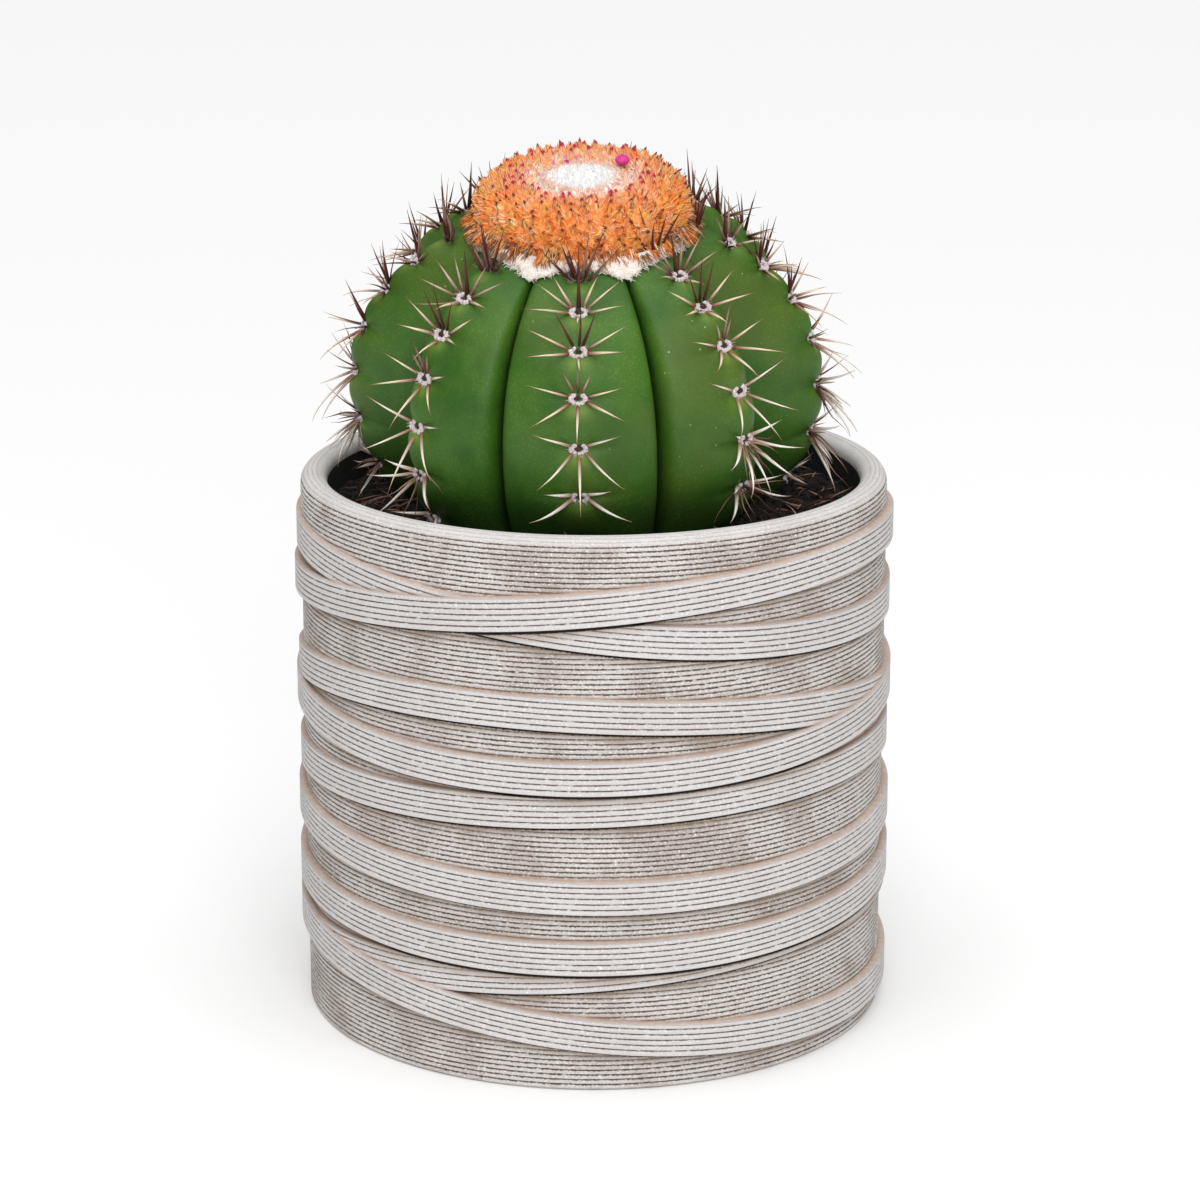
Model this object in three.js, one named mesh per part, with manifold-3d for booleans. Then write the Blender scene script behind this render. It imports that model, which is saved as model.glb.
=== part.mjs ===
// A round ribbed cactus with a bristly cap, growing in a cast cylindrical planter.
// Millimetres, +Z up, the planter's underside at z = 0 and its axis on x = y = 0.
import * as THREE from 'three';
import { mergeVertices } from 'three/addons/utils/BufferGeometryUtils.js';
import Module from 'manifold-3d';

const wasm = await Module();
wasm.setup();

// Planter
const potHeight = 140;
const wallRadius = 74.4;
const innerRadius = 67.6;
const floorThickness = 8;
const rimRounding = 3.2;
const rimSteps = 3;
const footChamfer = 0.8;
const potSides = 40;

// Raised bands that wrap the planter, each a closed ring on a tilt.
// middle: mean height, tilt: rise and fall, peak: where it is highest, in degrees right of the front.
const bandHeight = 8.8;
const ledgeHeight = 1;
const bandRoot = 1.2;
const overlyingBand = 1.8;
const underlyingBand = 1.2;
const bands = [
  { middle: 120.8, tilt: 7.1, peak: 70, proud: overlyingBand },
  { middle: 117.8, tilt: 8.8, peak: -98, proud: underlyingBand },
  { middle: 88.1, tilt: 9.2, peak: -22, proud: underlyingBand },
  { middle: 86.7, tilt: -5.8, peak: -8, proud: overlyingBand },
  { middle: 70.7, tilt: 3.4, peak: 50, proud: underlyingBand },
  { middle: 55, tilt: -4.4, peak: 8, proud: overlyingBand },
  { middle: 38.6, tilt: -3.6, peak: -10, proud: overlyingBand },
  { middle: 29.7, tilt: 6, peak: 80, proud: underlyingBand },
  { middle: 18.4, tilt: 8.6, peak: -113, proud: overlyingBand },
];

// Soil
const gap = 0.3;
const soilLevel = 130;
const soilMound = 1.5;
const soilShoulder = 8;
// The hole for the plant's base reaches this height in the plant's frame; every holeStep-th point of the
// crest line is a ring of it
const holeTop = 24;
const holeStep = 18;

// Plant, in its own frame: the origin on its axis at soil level, z along the axis
const collar = new THREE.Vector3(-1.3, 9.5, 130.5);
const leanForward = 12;
const leanLeft = 1;
const ribCount = 9;
const ribOffset = -1.5;
const ribSpread = 5;
const bodyRadius = 59;
const equatorHeight = 33;
const upperHeight = 45;
const lowerHeight = 48;
const bodyRoundness = 2.2;
const crestSteps = 400;
const capRadius = 24.5;
// Furrows between the ribs: their depth as a share of the radius, and the radii between which the ribs grow
// out of the smooth apex. The three front ribs are swollen: a flank rounds away by a small part of the depth,
// and a sharp crease takes the rest. Past the slim angles from the front, a rib has nearly straight flanks and
// a rounded crest, and its furrows deepen between the deep radii.
const furrowDepth = 0.22;
const slimDepth = 0.34;
const deepFrom = 34;
const deepWhole = 50;
const ribsFrom = 16.5;
const ribsWhole = 38.5;
const swollenFlank = 0.27;
const swollenCrease = 22;
const slimFlank = 0.9;
const slimCrease = 14;
const slimRounding = 0.12;
const slimFrom = 34;
const slimWhole = 50;
// Places of the mesh columns across a rib, from one furrow to the next, with the crest at 0
const columnPlaces = [-0.9, -0.3, 0, 0.3, 0.9, 1];
const buriedShares = [0.93, 0.8, 0.6, 0.3];

// Areoles, the woolly cushions that carry the spines, down each rib's crest, which bulges between them
const firstAreoleRadius = 32.5;
const areolesPerRib = 7;
const areoleSpacing = 9.2;
const spacingGrowth = 0.4;
const ribPhases = [0, 0.4, 0.55, 0.15, 0.7, 0.3, 0.6, 0.2, 0.1];
const phaseBlendFrom = 0.3;
const phaseBlendTo = 0.7;
const crestBump = 1;
const crestWidth = 0.34;
const bumpsFrom = -1;
const bumpsWhole = 0.5;

// Spines: [outwards, up the rib, along the circle, length, bend towards the body]
const areoleRadius = 2.2;
const spineRadius = 0.55;
const spineRoot = 1.6;
const spineScatter = 0.1;
const spineClearance = 1.2;
const spineSeed = 7;
const spinePattern = [
  [0.95, 0.5, 0, 13, 0],
  [0.5, 0.3, 0.8, 14, 0],
  [0.5, 0.3, -0.8, 14, 0],
  [0.5, -0.6, 0.65, 15, 3],
  [0.5, -0.6, -0.65, 15, 3],
];
// Half way along a bent needle: its thickness and its bend, as shares of the root's and the tip's
const waistThickness = 0.75;
const waistBend = 0.25;

// Cephalium, the bristly flowering cap, with its wool: [radius, height] in the plant's frame
const underRadius = 23;
const domeOutline = [
  [27.6, 76.3], [28.2, 78.6], [27.6, 81.8], [25.6, 84.9],
  [22, 87.2], [18, 88.6], [14.5, 88.3], [11.2, 87.2],
];
const domeSides = 30;
const crownRadius = 10.6;
const crownFloor = 84.8;
const crownOutline = [[10.2, 86.9], [6, 86.7], [0, 86.4]];
const crownSides = 20;
// Rings of bristles: [height, how many]
const bristleRings = [[77.8, 21], [80.4, 21], [82.9, 20], [85.2, 18], [87.1, 16], [88.5, 14]];
const bristleLength = 2.6;
const bristleRadius = 1.1;
const bristleRoot = 1;
const bristleRise = 0.5;
const bristleShift = 0.3;
const bristleScatter = 0.2;
const bristleSeed = 19;
const skirtReach = 29.6;
const skirtDrop = 5;
const skirtThickness = 1.8;
const skirtRise = 0.45;
const skirtEdge = 0.6;
const skirtTop = [[28.6, 76], [25.6, 75.5]];
const budPlace = { radius: 12.2, angle: 125, z: 88.3 };
const budOutline = [[0, 0], [1.1, 0.2], [1.9, 1.2], [1.4, 2.4], [0, 3.2]];
const budClearance = 3.4;
const budSides = 8;

const weldDistance = 1e-4;
const degrees = THREE.MathUtils.degToRad;
const { clamp, lerp, smoothstep } = THREE.MathUtils;

// Seeded draw between -1 and 1
function makeDraw(seed) {
  let state = seed;
  return () => {
    state = (Math.imul(state, 1664525) + 1013904223) >>> 0;
    return (state / 2 ** 32) * 2 - 1;
  };
}

function indexedGeometry(positions, triangles) {
  const geometry = new THREE.BufferGeometry();
  geometry.setAttribute('position', new THREE.Float32BufferAttribute(positions, 3));
  geometry.setIndex(triangles);
  return geometry;
}

function toSolid(geometry) {
  const bare = geometry.clone();
  bare.deleteAttribute('normal');
  bare.deleteAttribute('uv');
  const welded = mergeVertices(bare, weldDistance);
  const triangles = [];
  for (let i = 0; i < welded.index.count; i += 3) {
    const corners = [0, 1, 2].map((j) => welded.index.getX(i + j));
    if (new Set(corners).size === 3) triangles.push(...corners);
  }
  return new wasm.Manifold(new wasm.Mesh({
    numProp: 3,
    vertProperties: new Float32Array(welded.attributes.position.array),
    triVerts: new Uint32Array(triangles),
  }));
}

function toGeometry(solid) {
  const mesh = solid.getMesh();
  const geometry = indexedGeometry(Array.from(mesh.vertProperties), Array.from(mesh.triVerts));
  geometry.computeVertexNormals();
  return geometry;
}

// Joins solids two by two, so that each step stays small
function joinAll(solids) {
  let left = solids;
  while (left.length > 1) {
    const joined = [];
    for (let i = 0; i < left.length; i += 2) {
      joined.push(i + 1 < left.length ? left[i].add(left[i + 1]) : left[i]);
    }
    left = joined;
  }
  return left[0];
}

// A closed skin from a stack of rings, each a list of [x, y, z] turning anticlockwise, from bottom to top.
// A ring of one point closes the end.
function stackRings(rings) {
  const positions = rings.flat(2);
  const starts = [];
  let total = 0;
  for (const ring of rings) {
    starts.push(total);
    total += ring.length;
  }
  const triangles = [];
  for (let i = 0; i + 1 < rings.length; i += 1) {
    const [low, high] = [rings[i].length, rings[i + 1].length];
    const count = Math.max(low, high);
    for (let j = 0; j < count; j += 1) {
      const a = starts[i] + (low === 1 ? 0 : j);
      const b = starts[i] + (low === 1 ? 0 : (j + 1) % low);
      const c = starts[i + 1] + (high === 1 ? 0 : (j + 1) % high);
      const d = starts[i + 1] + (high === 1 ? 0 : j);
      if (low > 1) triangles.push(a, b, c);
      if (high > 1) triangles.push(a, c, d);
    }
  }
  return indexedGeometry(positions, triangles);
}

// A ring that closes on itself: sections is a list of closed outlines, one for each place round the ring
function joinSections(sections) {
  const count = sections[0].length;
  const triangles = [];
  sections.forEach((section, i) => {
    const next = ((i + 1) % sections.length) * count;
    for (let j = 0; j < count; j += 1) {
      const k = (j + 1) % count;
      triangles.push(i * count + j, next + j, next + k, i * count + j, next + k, i * count + k);
    }
  });
  return indexedGeometry(sections.flat(2), triangles);
}

// Angle 0 is the front, -Y, and grows to the right, +X
function around(radius, angle, z) {
  return [radius * Math.sin(angle), -radius * Math.cos(angle), z];
}

// Rings of a turned shape, from its outline as [radius, height]
function roundRings(outline, sides) {
  return outline.map(([radius, z]) => (radius === 0
    ? [[0, 0, z]]
    : Array.from({ length: sides }, (_, i) => around(radius, (i / sides) * 2 * Math.PI, z))));
}

// Planter --------------------------------------------------------------------------------------

// A quarter of a circle, with from as its first angle
function quarter(x, z, radius, from) {
  return Array.from({ length: rimSteps + 1 }, (_, i) => {
    const turn = degrees(from + (90 * i) / rimSteps);
    return new THREE.Vector2(x + radius * Math.cos(turn), z + radius * Math.sin(turn));
  });
}

function planterShell() {
  const shoulder = quarter(wallRadius - rimRounding, potHeight - rimRounding, rimRounding, 0);
  const lip = quarter(innerRadius + rimRounding, potHeight - rimRounding, rimRounding, 90);
  const outline = [
    new THREE.Vector2(0, 0),
    new THREE.Vector2(wallRadius - footChamfer, 0),
    new THREE.Vector2(wallRadius, footChamfer),
    ...shoulder,
    ...lip,
    new THREE.Vector2(innerRadius, floorThickness),
    new THREE.Vector2(0, floorThickness),
  ];
  return toSolid(new THREE.LatheGeometry(outline, potSides).rotateX(Math.PI / 2));
}

function bandRing({ middle, tilt, peak, proud }) {
  const sections = Array.from({ length: potSides }, (_, i) => {
    const angle = (i / potSides) * 2 * Math.PI;
    const height = middle + tilt * Math.cos(angle - degrees(peak));
    const [bottom, top] = [height - bandHeight / 2, height + bandHeight / 2];
    return [
      around(wallRadius - bandRoot, angle, bottom),
      around(wallRadius + proud, angle, bottom),
      around(wallRadius + proud, angle, top - ledgeHeight),
      around(wallRadius - bandRoot, angle, top),
    ];
  });
  return toSolid(joinSections(sections));
}

// Cactus body ----------------------------------------------------------------------------------

const plantPlace = new THREE.Matrix4()
  .makeRotationFromEuler(new THREE.Euler(degrees(leanForward), -degrees(leanLeft), 0))
  .setPosition(collar);

function crestHeight(radius) {
  return equatorHeight + upperHeight * (1 - (radius / bodyRadius) ** bodyRoundness) ** (1 / bodyRoundness);
}

// The crest line from the edge of the flat top down to the buried base, with the length run so far
const crestLine = (() => {
  const bulge = (value) => Math.sign(value) * Math.abs(value) ** (2 / bodyRoundness);
  const points = [];
  for (let i = 0; i <= crestSteps; i += 1) {
    const turn = (i / crestSteps) * Math.PI;
    const half = turn < Math.PI / 2 ? upperHeight : lowerHeight;
    const radius = bodyRadius * bulge(Math.sin(turn));
    const z = equatorHeight + half * bulge(Math.cos(turn));
    if (z > crestHeight(capRadius)) continue;
    const last = points.at(-1) ?? { radius, z, length: 0 };
    points.push({ radius, z, length: last.length + Math.hypot(radius - last.radius, z - last.z) });
  }
  return points;
})();
const crestLength = crestLine.at(-1).length;
const firstAreole = crestLine.find((point) => point.radius > firstAreoleRadius).length;

function crestAt(length) {
  const wanted = clamp(length, 0, crestLength - weldDistance);
  const i = crestLine.findIndex((point) => point.length > wanted);
  const [a, b] = [crestLine[i - 1], crestLine[i]];
  const share = (wanted - a.length) / (b.length - a.length);
  return { radius: lerp(a.radius, b.radius, share), z: lerp(a.z, b.z, share) };
}

// Length down the crest line of areole number place, which may be a fraction
function areoleLength(place) {
  return firstAreole + areoleSpacing * place + spacingGrowth * place * Math.abs(place);
}

// The ribs stand a little further apart at the front
function ribAngle(turns) {
  const even = degrees((360 * turns) / ribCount);
  return even + degrees(ribOffset) + degrees(ribSpread) * Math.sin(even);
}

// How far down its spacing a rib's first areole starts, blended across the furrows
function ribPhase(turns) {
  const rib = Math.floor(turns);
  const phase = (i) => ribPhases[(i + ribCount) % ribCount];
  return lerp(phase(rib), phase(rib + 1), smoothstep(turns - rib, phaseBlendFrom, phaseBlendTo));
}

// The share by which the flank draws in at a place from crest, 0, to furrow, 1; ribs fade out at the apex
function furrowShare(across, radius, turns) {
  const swollen = lerp(across ** swollenCrease, across ** 2, swollenFlank);
  const rounded = (share) => Math.hypot(share, slimRounding) - slimRounding;
  const straight = rounded(across) / rounded(1);
  const slim = lerp(across ** slimCrease, straight, slimFlank);
  const fromFront = Math.acos(Math.cos(ribAngle(turns)));
  const slimming = smoothstep(fromFront, degrees(slimFrom), degrees(slimWhole));
  const depth = lerp(furrowDepth, slimDepth, slimming * smoothstep(radius, deepFrom, deepWhole));
  return depth * lerp(swollen, slim, slimming) * smoothstep(radius, ribsFrom, ribsWhole);
}

const columns = Array.from({ length: ribCount }, (_, rib) => columnPlaces.map((place) => ({
  turns: rib + place / 2,
  across: Math.abs(place),
}))).flat();

// The ribbed body from the buried base to the flat top
function ribbedBody() {
  const ringAt = (pointOf) => columns.map((column) => {
    const { radius, z, bump = 0 } = pointOf(column);
    const reach = radius * (1 - furrowShare(column.across, radius, column.turns)) + bump;
    return around(reach, ribAngle(column.turns), z);
  });
  const lowest = areolesPerRib + 0.5;
  const base = buriedShares.map((share) => {
    const { radius, z } = crestAt(lerp(areoleLength(lowest), crestLength, share));
    return ringAt(() => ({ radius, z }));
  });
  const flank = [];
  for (let place = lowest; place > -1; place -= 0.5) {
    const fade = smoothstep(place, bumpsFrom, bumpsWhole);
    flank.push(ringAt(({ turns, across }) => ({
      ...crestAt(areoleLength(place + fade * ribPhase(turns))),
      bump: -fade * crestBump * Math.cos(2 * Math.PI * place) * Math.exp(-((across / crestWidth) ** 2)),
    })));
  }
  const top = crestHeight(capRadius);
  return stackRings([
    [[0, 0, equatorHeight - lowerHeight]],
    ...base,
    ...flank,
    ringAt(() => ({ radius: capRadius, z: top })),
    ringAt(() => ({ radius: capRadius / 2, z: top })),
    [[0, 0, top]],
  ]);
}

// Spines ---------------------------------------------------------------------------------------

// A three-sided needle, with one bend where bend isn't 0, its root a little way inside what it grows from
function needle({ foot, aim, inward, length, bend, radius, root }) {
  const along = aim.clone().normalize();
  const side = new THREE.Vector3().crossVectors(along, inward).normalize();
  const other = new THREE.Vector3().crossVectors(along, side);
  const at = (distance, drop) => foot.clone().addScaledVector(along, distance).addScaledVector(inward, drop);
  const ring = (distance, size, drop) => Array.from({ length: 3 }, (_, i) => at(distance, drop)
    .addScaledVector(side, size * Math.cos((i * 2 * Math.PI) / 3))
    .addScaledVector(other, size * Math.sin((i * 2 * Math.PI) / 3))
    .toArray());
  const waist = bend === 0 ? [] : [ring(length / 2, radius * waistThickness, bend * waistBend)];
  const tip = at(length, bend).toArray();
  return stackRings([[at(-root, 0).toArray()], ring(-root, radius, 0), ...waist, [tip]]);
}

// Where an areole sits and how it faces: outwards, up the rib and along the circle
function areoleFrame(rib, place) {
  const length = areoleLength(place + ribPhase(rib));
  const here = crestAt(length);
  const above = crestAt(length - 1);
  const angle = ribAngle(rib);
  const foot = new THREE.Vector3(...around(here.radius - crestBump, angle, here.z));
  const up = new THREE.Vector3(...around(above.radius - here.radius, angle, above.z - here.z)).normalize();
  const along = new THREE.Vector3(...around(1, angle + Math.PI / 2, 0));
  const out = new THREE.Vector3().crossVectors(along, up).normalize();
  return { foot, up, along, out };
}

// True where a point of the plant is clear of the soil and of the planter's wall and rim
function isClear(point) {
  const { x, y, z } = point.clone().applyMatrix4(plantPlace);
  const insideWall = Math.hypot(x, y) < innerRadius - spineClearance || z > potHeight + spineClearance;
  return z > soilLevel + soilMound + spineClearance && insideWall;
}

function spines() {
  const draw = makeDraw(spineSeed);
  const needles = [];
  for (let rib = 0; rib < ribCount; rib += 1) {
    for (let place = 0; place < areolesPerRib; place += 1) {
      const { foot, up, along, out } = areoleFrame(rib, place);
      const inward = out.clone().negate();
      for (const [outwards, upwards, across, length, bend] of spinePattern) {
        const aim = new THREE.Vector3()
          .addScaledVector(out, outwards + spineScatter * draw())
          .addScaledVector(up, upwards + spineScatter * draw())
          .addScaledVector(along, across + spineScatter * draw())
          .normalize();
        const reach = length * (1 + spineScatter * draw());
        const start = foot.clone()
          .addScaledVector(up, areoleRadius * upwards)
          .addScaledVector(along, areoleRadius * across);
        const tip = start.clone().addScaledVector(aim, reach).addScaledVector(inward, bend);
        if (!isClear(tip) || !isClear(start)) continue;
        needles.push(toSolid(needle({
          foot: start, aim, inward, length: reach, bend, radius: spineRadius, root: spineRoot,
        })));
      }
    }
  }
  return needles;
}

// Soil -----------------------------------------------------------------------------------------

// The plain round hole that the plant's base stands in
function plantHole() {
  const curve = crestLine.filter(({ z }, i) => z < holeTop && i % holeStep === 0).reverse();
  const side = curve.map(({ radius, z }) => [radius + crestBump + gap, z - gap]);
  const bottom = [0, equatorHeight - lowerHeight - 2 * gap];
  const top = [0, side.at(-1)[1]];
  return toSolid(stackRings(roundRings([bottom, ...side, top], potSides)).applyMatrix4(plantPlace));
}

function soilFill() {
  const outline = [
    new THREE.Vector2(0, floorThickness + gap),
    new THREE.Vector2(innerRadius - gap, floorThickness + gap),
    new THREE.Vector2(innerRadius - gap, soilLevel),
    new THREE.Vector2(innerRadius - soilShoulder, soilLevel + soilMound),
    new THREE.Vector2(0, soilLevel + soilMound),
  ];
  return toSolid(new THREE.LatheGeometry(outline, potSides).rotateX(Math.PI / 2)).subtract(plantHole());
}

// Cephalium ------------------------------------------------------------------------------------

const seat = crestHeight(capRadius) + gap;
const dome = [[underRadius, seat], ...domeOutline];

// Radius and slope of the dome's flank at a height
function domeAt(z) {
  const i = dome.findIndex(([, height]) => height > z);
  const [[r0, z0], [r1, z1]] = [dome[i - 1], dome[i]];
  return { radius: lerp(r0, r1, (z - z0) / (z1 - z0)), tilt: Math.atan2(r0 - r1, z1 - z0) };
}

function bristleCap() {
  const outline = [[0, seat], ...dome, [crownRadius, crownFloor], [0, crownFloor]];
  const draw = makeDraw(bristleSeed);
  const bristles = [];
  const bud = new THREE.Vector3(...around(budPlace.radius, degrees(budPlace.angle), budPlace.z));
  bristleRings.forEach(([z, count], ring) => {
    const { radius, tilt } = domeAt(z);
    for (let i = 0; i < count; i += 1) {
      const angle = ((i + ring / 2 + bristleShift * draw()) / count) * 2 * Math.PI;
      const foot = new THREE.Vector3(...around(radius, angle, z));
      const out = new THREE.Vector3(...around(Math.cos(tilt), angle, Math.sin(tilt)));
      if (foot.distanceTo(bud) < budClearance) continue;
      const aim = out.clone().add(new THREE.Vector3(0, 0, bristleRise + bristleScatter * draw()));
      const inward = out.clone().cross(new THREE.Vector3(...around(1, angle + Math.PI / 2, 0)));
      const length = bristleLength * (1 + bristleScatter * draw());
      bristles.push(toSolid(needle({
        foot, aim, inward, length, bend: 0, radius: bristleRadius, root: bristleRoot,
      })));
    }
  });
  return joinAll([toSolid(stackRings(roundRings(outline, domeSides))), ...bristles]);
}

// Wool in the wedge between the shoulder and the dome; it hangs further down in the furrows
function woolSkirt() {
  const sections = columns.map(({ turns, across }) => {
    const angle = ribAngle(turns);
    const reach = skirtReach + skirtDrop * across ** 2;
    const onBody = (radius, rise) => around(
      radius * (1 - furrowShare(across, radius, turns)) + rise / 2, angle, crestHeight(radius) + rise,
    );
    return [
      onBody(capRadius + skirtEdge, skirtRise),
      onBody((capRadius + reach) / 2, skirtRise),
      onBody(reach, skirtRise),
      onBody(reach - 2 * skirtEdge, skirtThickness),
      ...skirtTop.map(([radius, z]) => around(radius, angle, z)),
    ];
  });
  return joinSections(sections);
}

function woolCrown() {
  const outline = [[0, crownFloor + gap], [crownRadius - gap, crownFloor + gap], ...crownOutline];
  return stackRings(roundRings(outline, crownSides));
}

function flowerBud() {
  const geometry = stackRings(roundRings(budOutline, budSides));
  geometry.translate(...around(budPlace.radius, degrees(budPlace.angle), budPlace.z));
  return geometry;
}

// Assembly -------------------------------------------------------------------------------------

function piece(name, geometry, color, roughness) {
  const mesh = new THREE.Mesh(geometry, new THREE.MeshStandardMaterial({ color, roughness, metalness: 0 }));
  mesh.name = name;
  return mesh;
}

const cactus = joinAll([toSolid(ribbedBody()), ...spines()]);
const planter = joinAll([planterShell(), ...bands.map(bandRing)]);

const plant = new THREE.Group();
plant.applyMatrix4(plantPlace);
plant.add(
  piece('cactus', toGeometry(cactus), '#3b6b30', 0.55),
  piece('wool_skirt', woolSkirt(), '#eee3d8', 0.95),
  piece('cephalium', toGeometry(bristleCap()), '#e07b35', 0.85),
  piece('wool_crown', woolCrown(), '#fbf6ec', 0.95),
  piece('flower_bud', flowerBud(), '#d3157f', 0.5),
);

const pottedCactus = new THREE.Group();
pottedCactus.add(
  piece('planter', toGeometry(planter), '#cfc9c3', 0.85),
  piece('soil', toGeometry(soilFill()), '#2b211b', 1),
  plant,
);

export default pottedCactus;
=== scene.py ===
import math
import random
from functools import partial
import bpy
import numpy as np
from mathutils import Matrix, Vector


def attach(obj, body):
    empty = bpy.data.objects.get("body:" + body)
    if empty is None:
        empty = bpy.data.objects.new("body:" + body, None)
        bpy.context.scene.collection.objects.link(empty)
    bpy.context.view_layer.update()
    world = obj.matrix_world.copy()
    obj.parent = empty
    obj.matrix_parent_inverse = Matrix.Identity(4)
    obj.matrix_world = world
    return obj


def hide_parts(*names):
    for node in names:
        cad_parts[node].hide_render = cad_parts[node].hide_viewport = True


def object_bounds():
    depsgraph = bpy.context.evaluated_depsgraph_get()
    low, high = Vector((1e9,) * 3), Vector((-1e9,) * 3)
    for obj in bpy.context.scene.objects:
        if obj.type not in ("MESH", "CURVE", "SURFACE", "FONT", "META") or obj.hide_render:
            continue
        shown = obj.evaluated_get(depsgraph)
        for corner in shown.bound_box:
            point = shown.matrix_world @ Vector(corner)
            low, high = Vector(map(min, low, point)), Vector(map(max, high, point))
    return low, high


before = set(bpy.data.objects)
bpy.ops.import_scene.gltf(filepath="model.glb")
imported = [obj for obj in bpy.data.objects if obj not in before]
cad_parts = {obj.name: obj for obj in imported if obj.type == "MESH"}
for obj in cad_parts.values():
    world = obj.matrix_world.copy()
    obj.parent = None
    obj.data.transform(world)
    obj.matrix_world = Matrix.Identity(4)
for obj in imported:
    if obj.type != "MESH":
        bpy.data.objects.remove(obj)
cadBounds = [list(corner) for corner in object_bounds()]
print("frame loaded:", ", ".join(sorted(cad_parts)))

mm = 0.001  # shapes below are worked out in millimetres and stored in metres


def linear(code):
    # an sRGB hex colour as linear RGBA
    channels = [int(code[i:i + 2], 16) / 255 for i in (1, 3, 5)]
    return [c / 12.92 if c <= 0.04045 else ((c + 0.055) / 1.055) ** 2.4 for c in channels] + [1.0]


def blend(first, second, share):
    return [a + (b - a) * share for a, b in zip(first, second)]


def smoothstep(value, low, high):
    share = np.clip((np.asarray(value, float) - low) / (high - low), 0, 1)
    return share * share * (3 - 2 * share)


def around(radius, angle, z):
    # angle 0 is the front, -Y, and grows to the right, +X
    return np.stack(np.broadcast_arrays(radius * np.sin(angle), -radius * np.cos(angle), z), -1)


def ringAngles(columns):
    return np.arange(columns) / columns * 2 * math.pi


def ripple(angle, height, seed, waves=5):
    # a smooth lumpy pattern round the part, about -1 to 1
    draw = random.Random(seed)
    total = 0
    for i in range(waves):
        wave = draw.randint(7, 40) * angle + draw.uniform(0.5, 2.2) * height + draw.uniform(0, 6.3)
        total = total + np.sin(wave)
    return total / waves ** 0.5 / 1.4


def live(node):
    return next(out for out in node.outputs if out.enabled)


def add(tree, kind, inputs=None, **settings):
    # one node; an input is a value, a socket, or a node whose first live output is taken
    made = tree.nodes.new(kind)
    for name, value in settings.items():
        setattr(made, name, value)
    for key, value in (inputs or {}).items():
        shown = [socket for socket in made.inputs if socket.enabled]
        socket = shown[key] if isinstance(key, int) else next(s for s in shown if s.name == key)
        if isinstance(value, bpy.types.Node):
            value = live(value)
        if isinstance(value, bpy.types.NodeSocket):
            tree.links.new(value, socket)
        else:
            socket.default_value = value
    return made


def newPiece(name, points, faces, values=None, edges=(), material=None, smooth=True):
    # a mesh from points in millimetres, with its own number, vector or colour attributes
    mesh = bpy.data.meshes.new(name)
    points = (np.asarray(points, float) * mm).tolist()
    mesh.from_pydata(points, list(edges), [list(map(int, face)) for face in faces])
    kinds = {1: ("FLOAT", "value"), 3: ("FLOAT_VECTOR", "vector"), 4: ("FLOAT_COLOR", "color")}
    for key, numbers in (values or {}).items():
        numbers = np.asarray(numbers, np.float32)
        kind, field = kinds[numbers.shape[1] if numbers.ndim == 2 else 1]
        mesh.attributes.new(key, kind, "POINT").data.foreach_set(field, numbers.ravel())
    if smooth:
        mesh.polygons.foreach_set("use_smooth", [True] * len(mesh.polygons))
    if material:
        mesh.materials.append(material)
    piece = bpy.data.objects.new(name, mesh)
    bpy.context.scene.collection.objects.link(piece)
    return piece


def gridFaces(rows, columns, closed=True):
    # quads between rows of points, each row a ring where closed
    faces = []
    for i in range(rows - 1):
        for j in range(columns if closed else columns - 1):
            k = (j + 1) % columns
            faces.append((i * columns + j, i * columns + k, (i + 1) * columns + k, (i + 1) * columns + j))
    return faces


def closedRings(rings, low, high):
    # points and faces of a solid from its rings, upwards and inwards, closed by a point below and one above
    width = len(rings[0])
    points = np.concatenate([[low], *rings, [high]])
    last = 1 + (len(rings) - 1) * width
    faces = [tuple(1 + k for k in face) for face in gridFaces(len(rings), width)]
    faces += [(0, 1 + (j + 1) % width, 1 + j) for j in range(width)]
    faces += [(len(points) - 1, last + j, last + (j + 1) % width) for j in range(width)]
    return points, faces


def grow(base, tree, settings):
    # runs a node tree on a base object and keeps the result as a plain mesh of the same name
    modifier = base.modifiers.new(tree.name, "NODES")
    modifier.node_group = tree
    for item in tree.interface.items_tree:
        if item.item_type == "SOCKET" and item.in_out == "INPUT" and item.name in settings:
            modifier[item.identifier] = settings[item.name]
    evaluated = base.evaluated_get(bpy.context.evaluated_depsgraph_get())
    mesh = bpy.data.meshes.new_from_object(evaluated)
    base.modifiers.remove(modifier)
    name = base.name
    bpy.data.objects.remove(base)
    grown = bpy.data.objects.new(name, mesh)
    bpy.context.scene.collection.objects.link(grown)
    return grown


def settle(piece, slot, *nodes):
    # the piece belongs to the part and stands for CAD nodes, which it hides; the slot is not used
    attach(piece, "root")
    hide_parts(*nodes)
    print(f"{piece.name}: {len(piece.data.vertices)} points, {len(piece.data.polygons)} faces")


view = {
    "place": (1.6, -963.3, 376.0),  # millimetres, from the fit of the rim, the walls and the foot
    "pitch": 15.756,  # degrees down
    "lens": 117.05,
    "sensor": 36.0,
}
light = {
    # the soft disk in front: place and aim, size across and watts
    "place": (150, -1500, 900), "aim": (0, 0, 110), "size": 1000, "power": 10.5,
    # a broad soft light from above: watts for each square metre, degrees across and degrees tilted
    "above": 2.2, "aboveSpread": 75, "aboveTilt": 8,
    "sky": 0.2, "floorGlow": 0.105, "floorHalf": 6000,
}


def newLight(name, kind, **settings):
    lamp = bpy.data.objects.new(name, bpy.data.lights.new(name, kind))
    for key, value in settings.items():
        setattr(lamp.data, key, value)
    bpy.context.scene.collection.objects.link(lamp)
    return lamp


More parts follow.
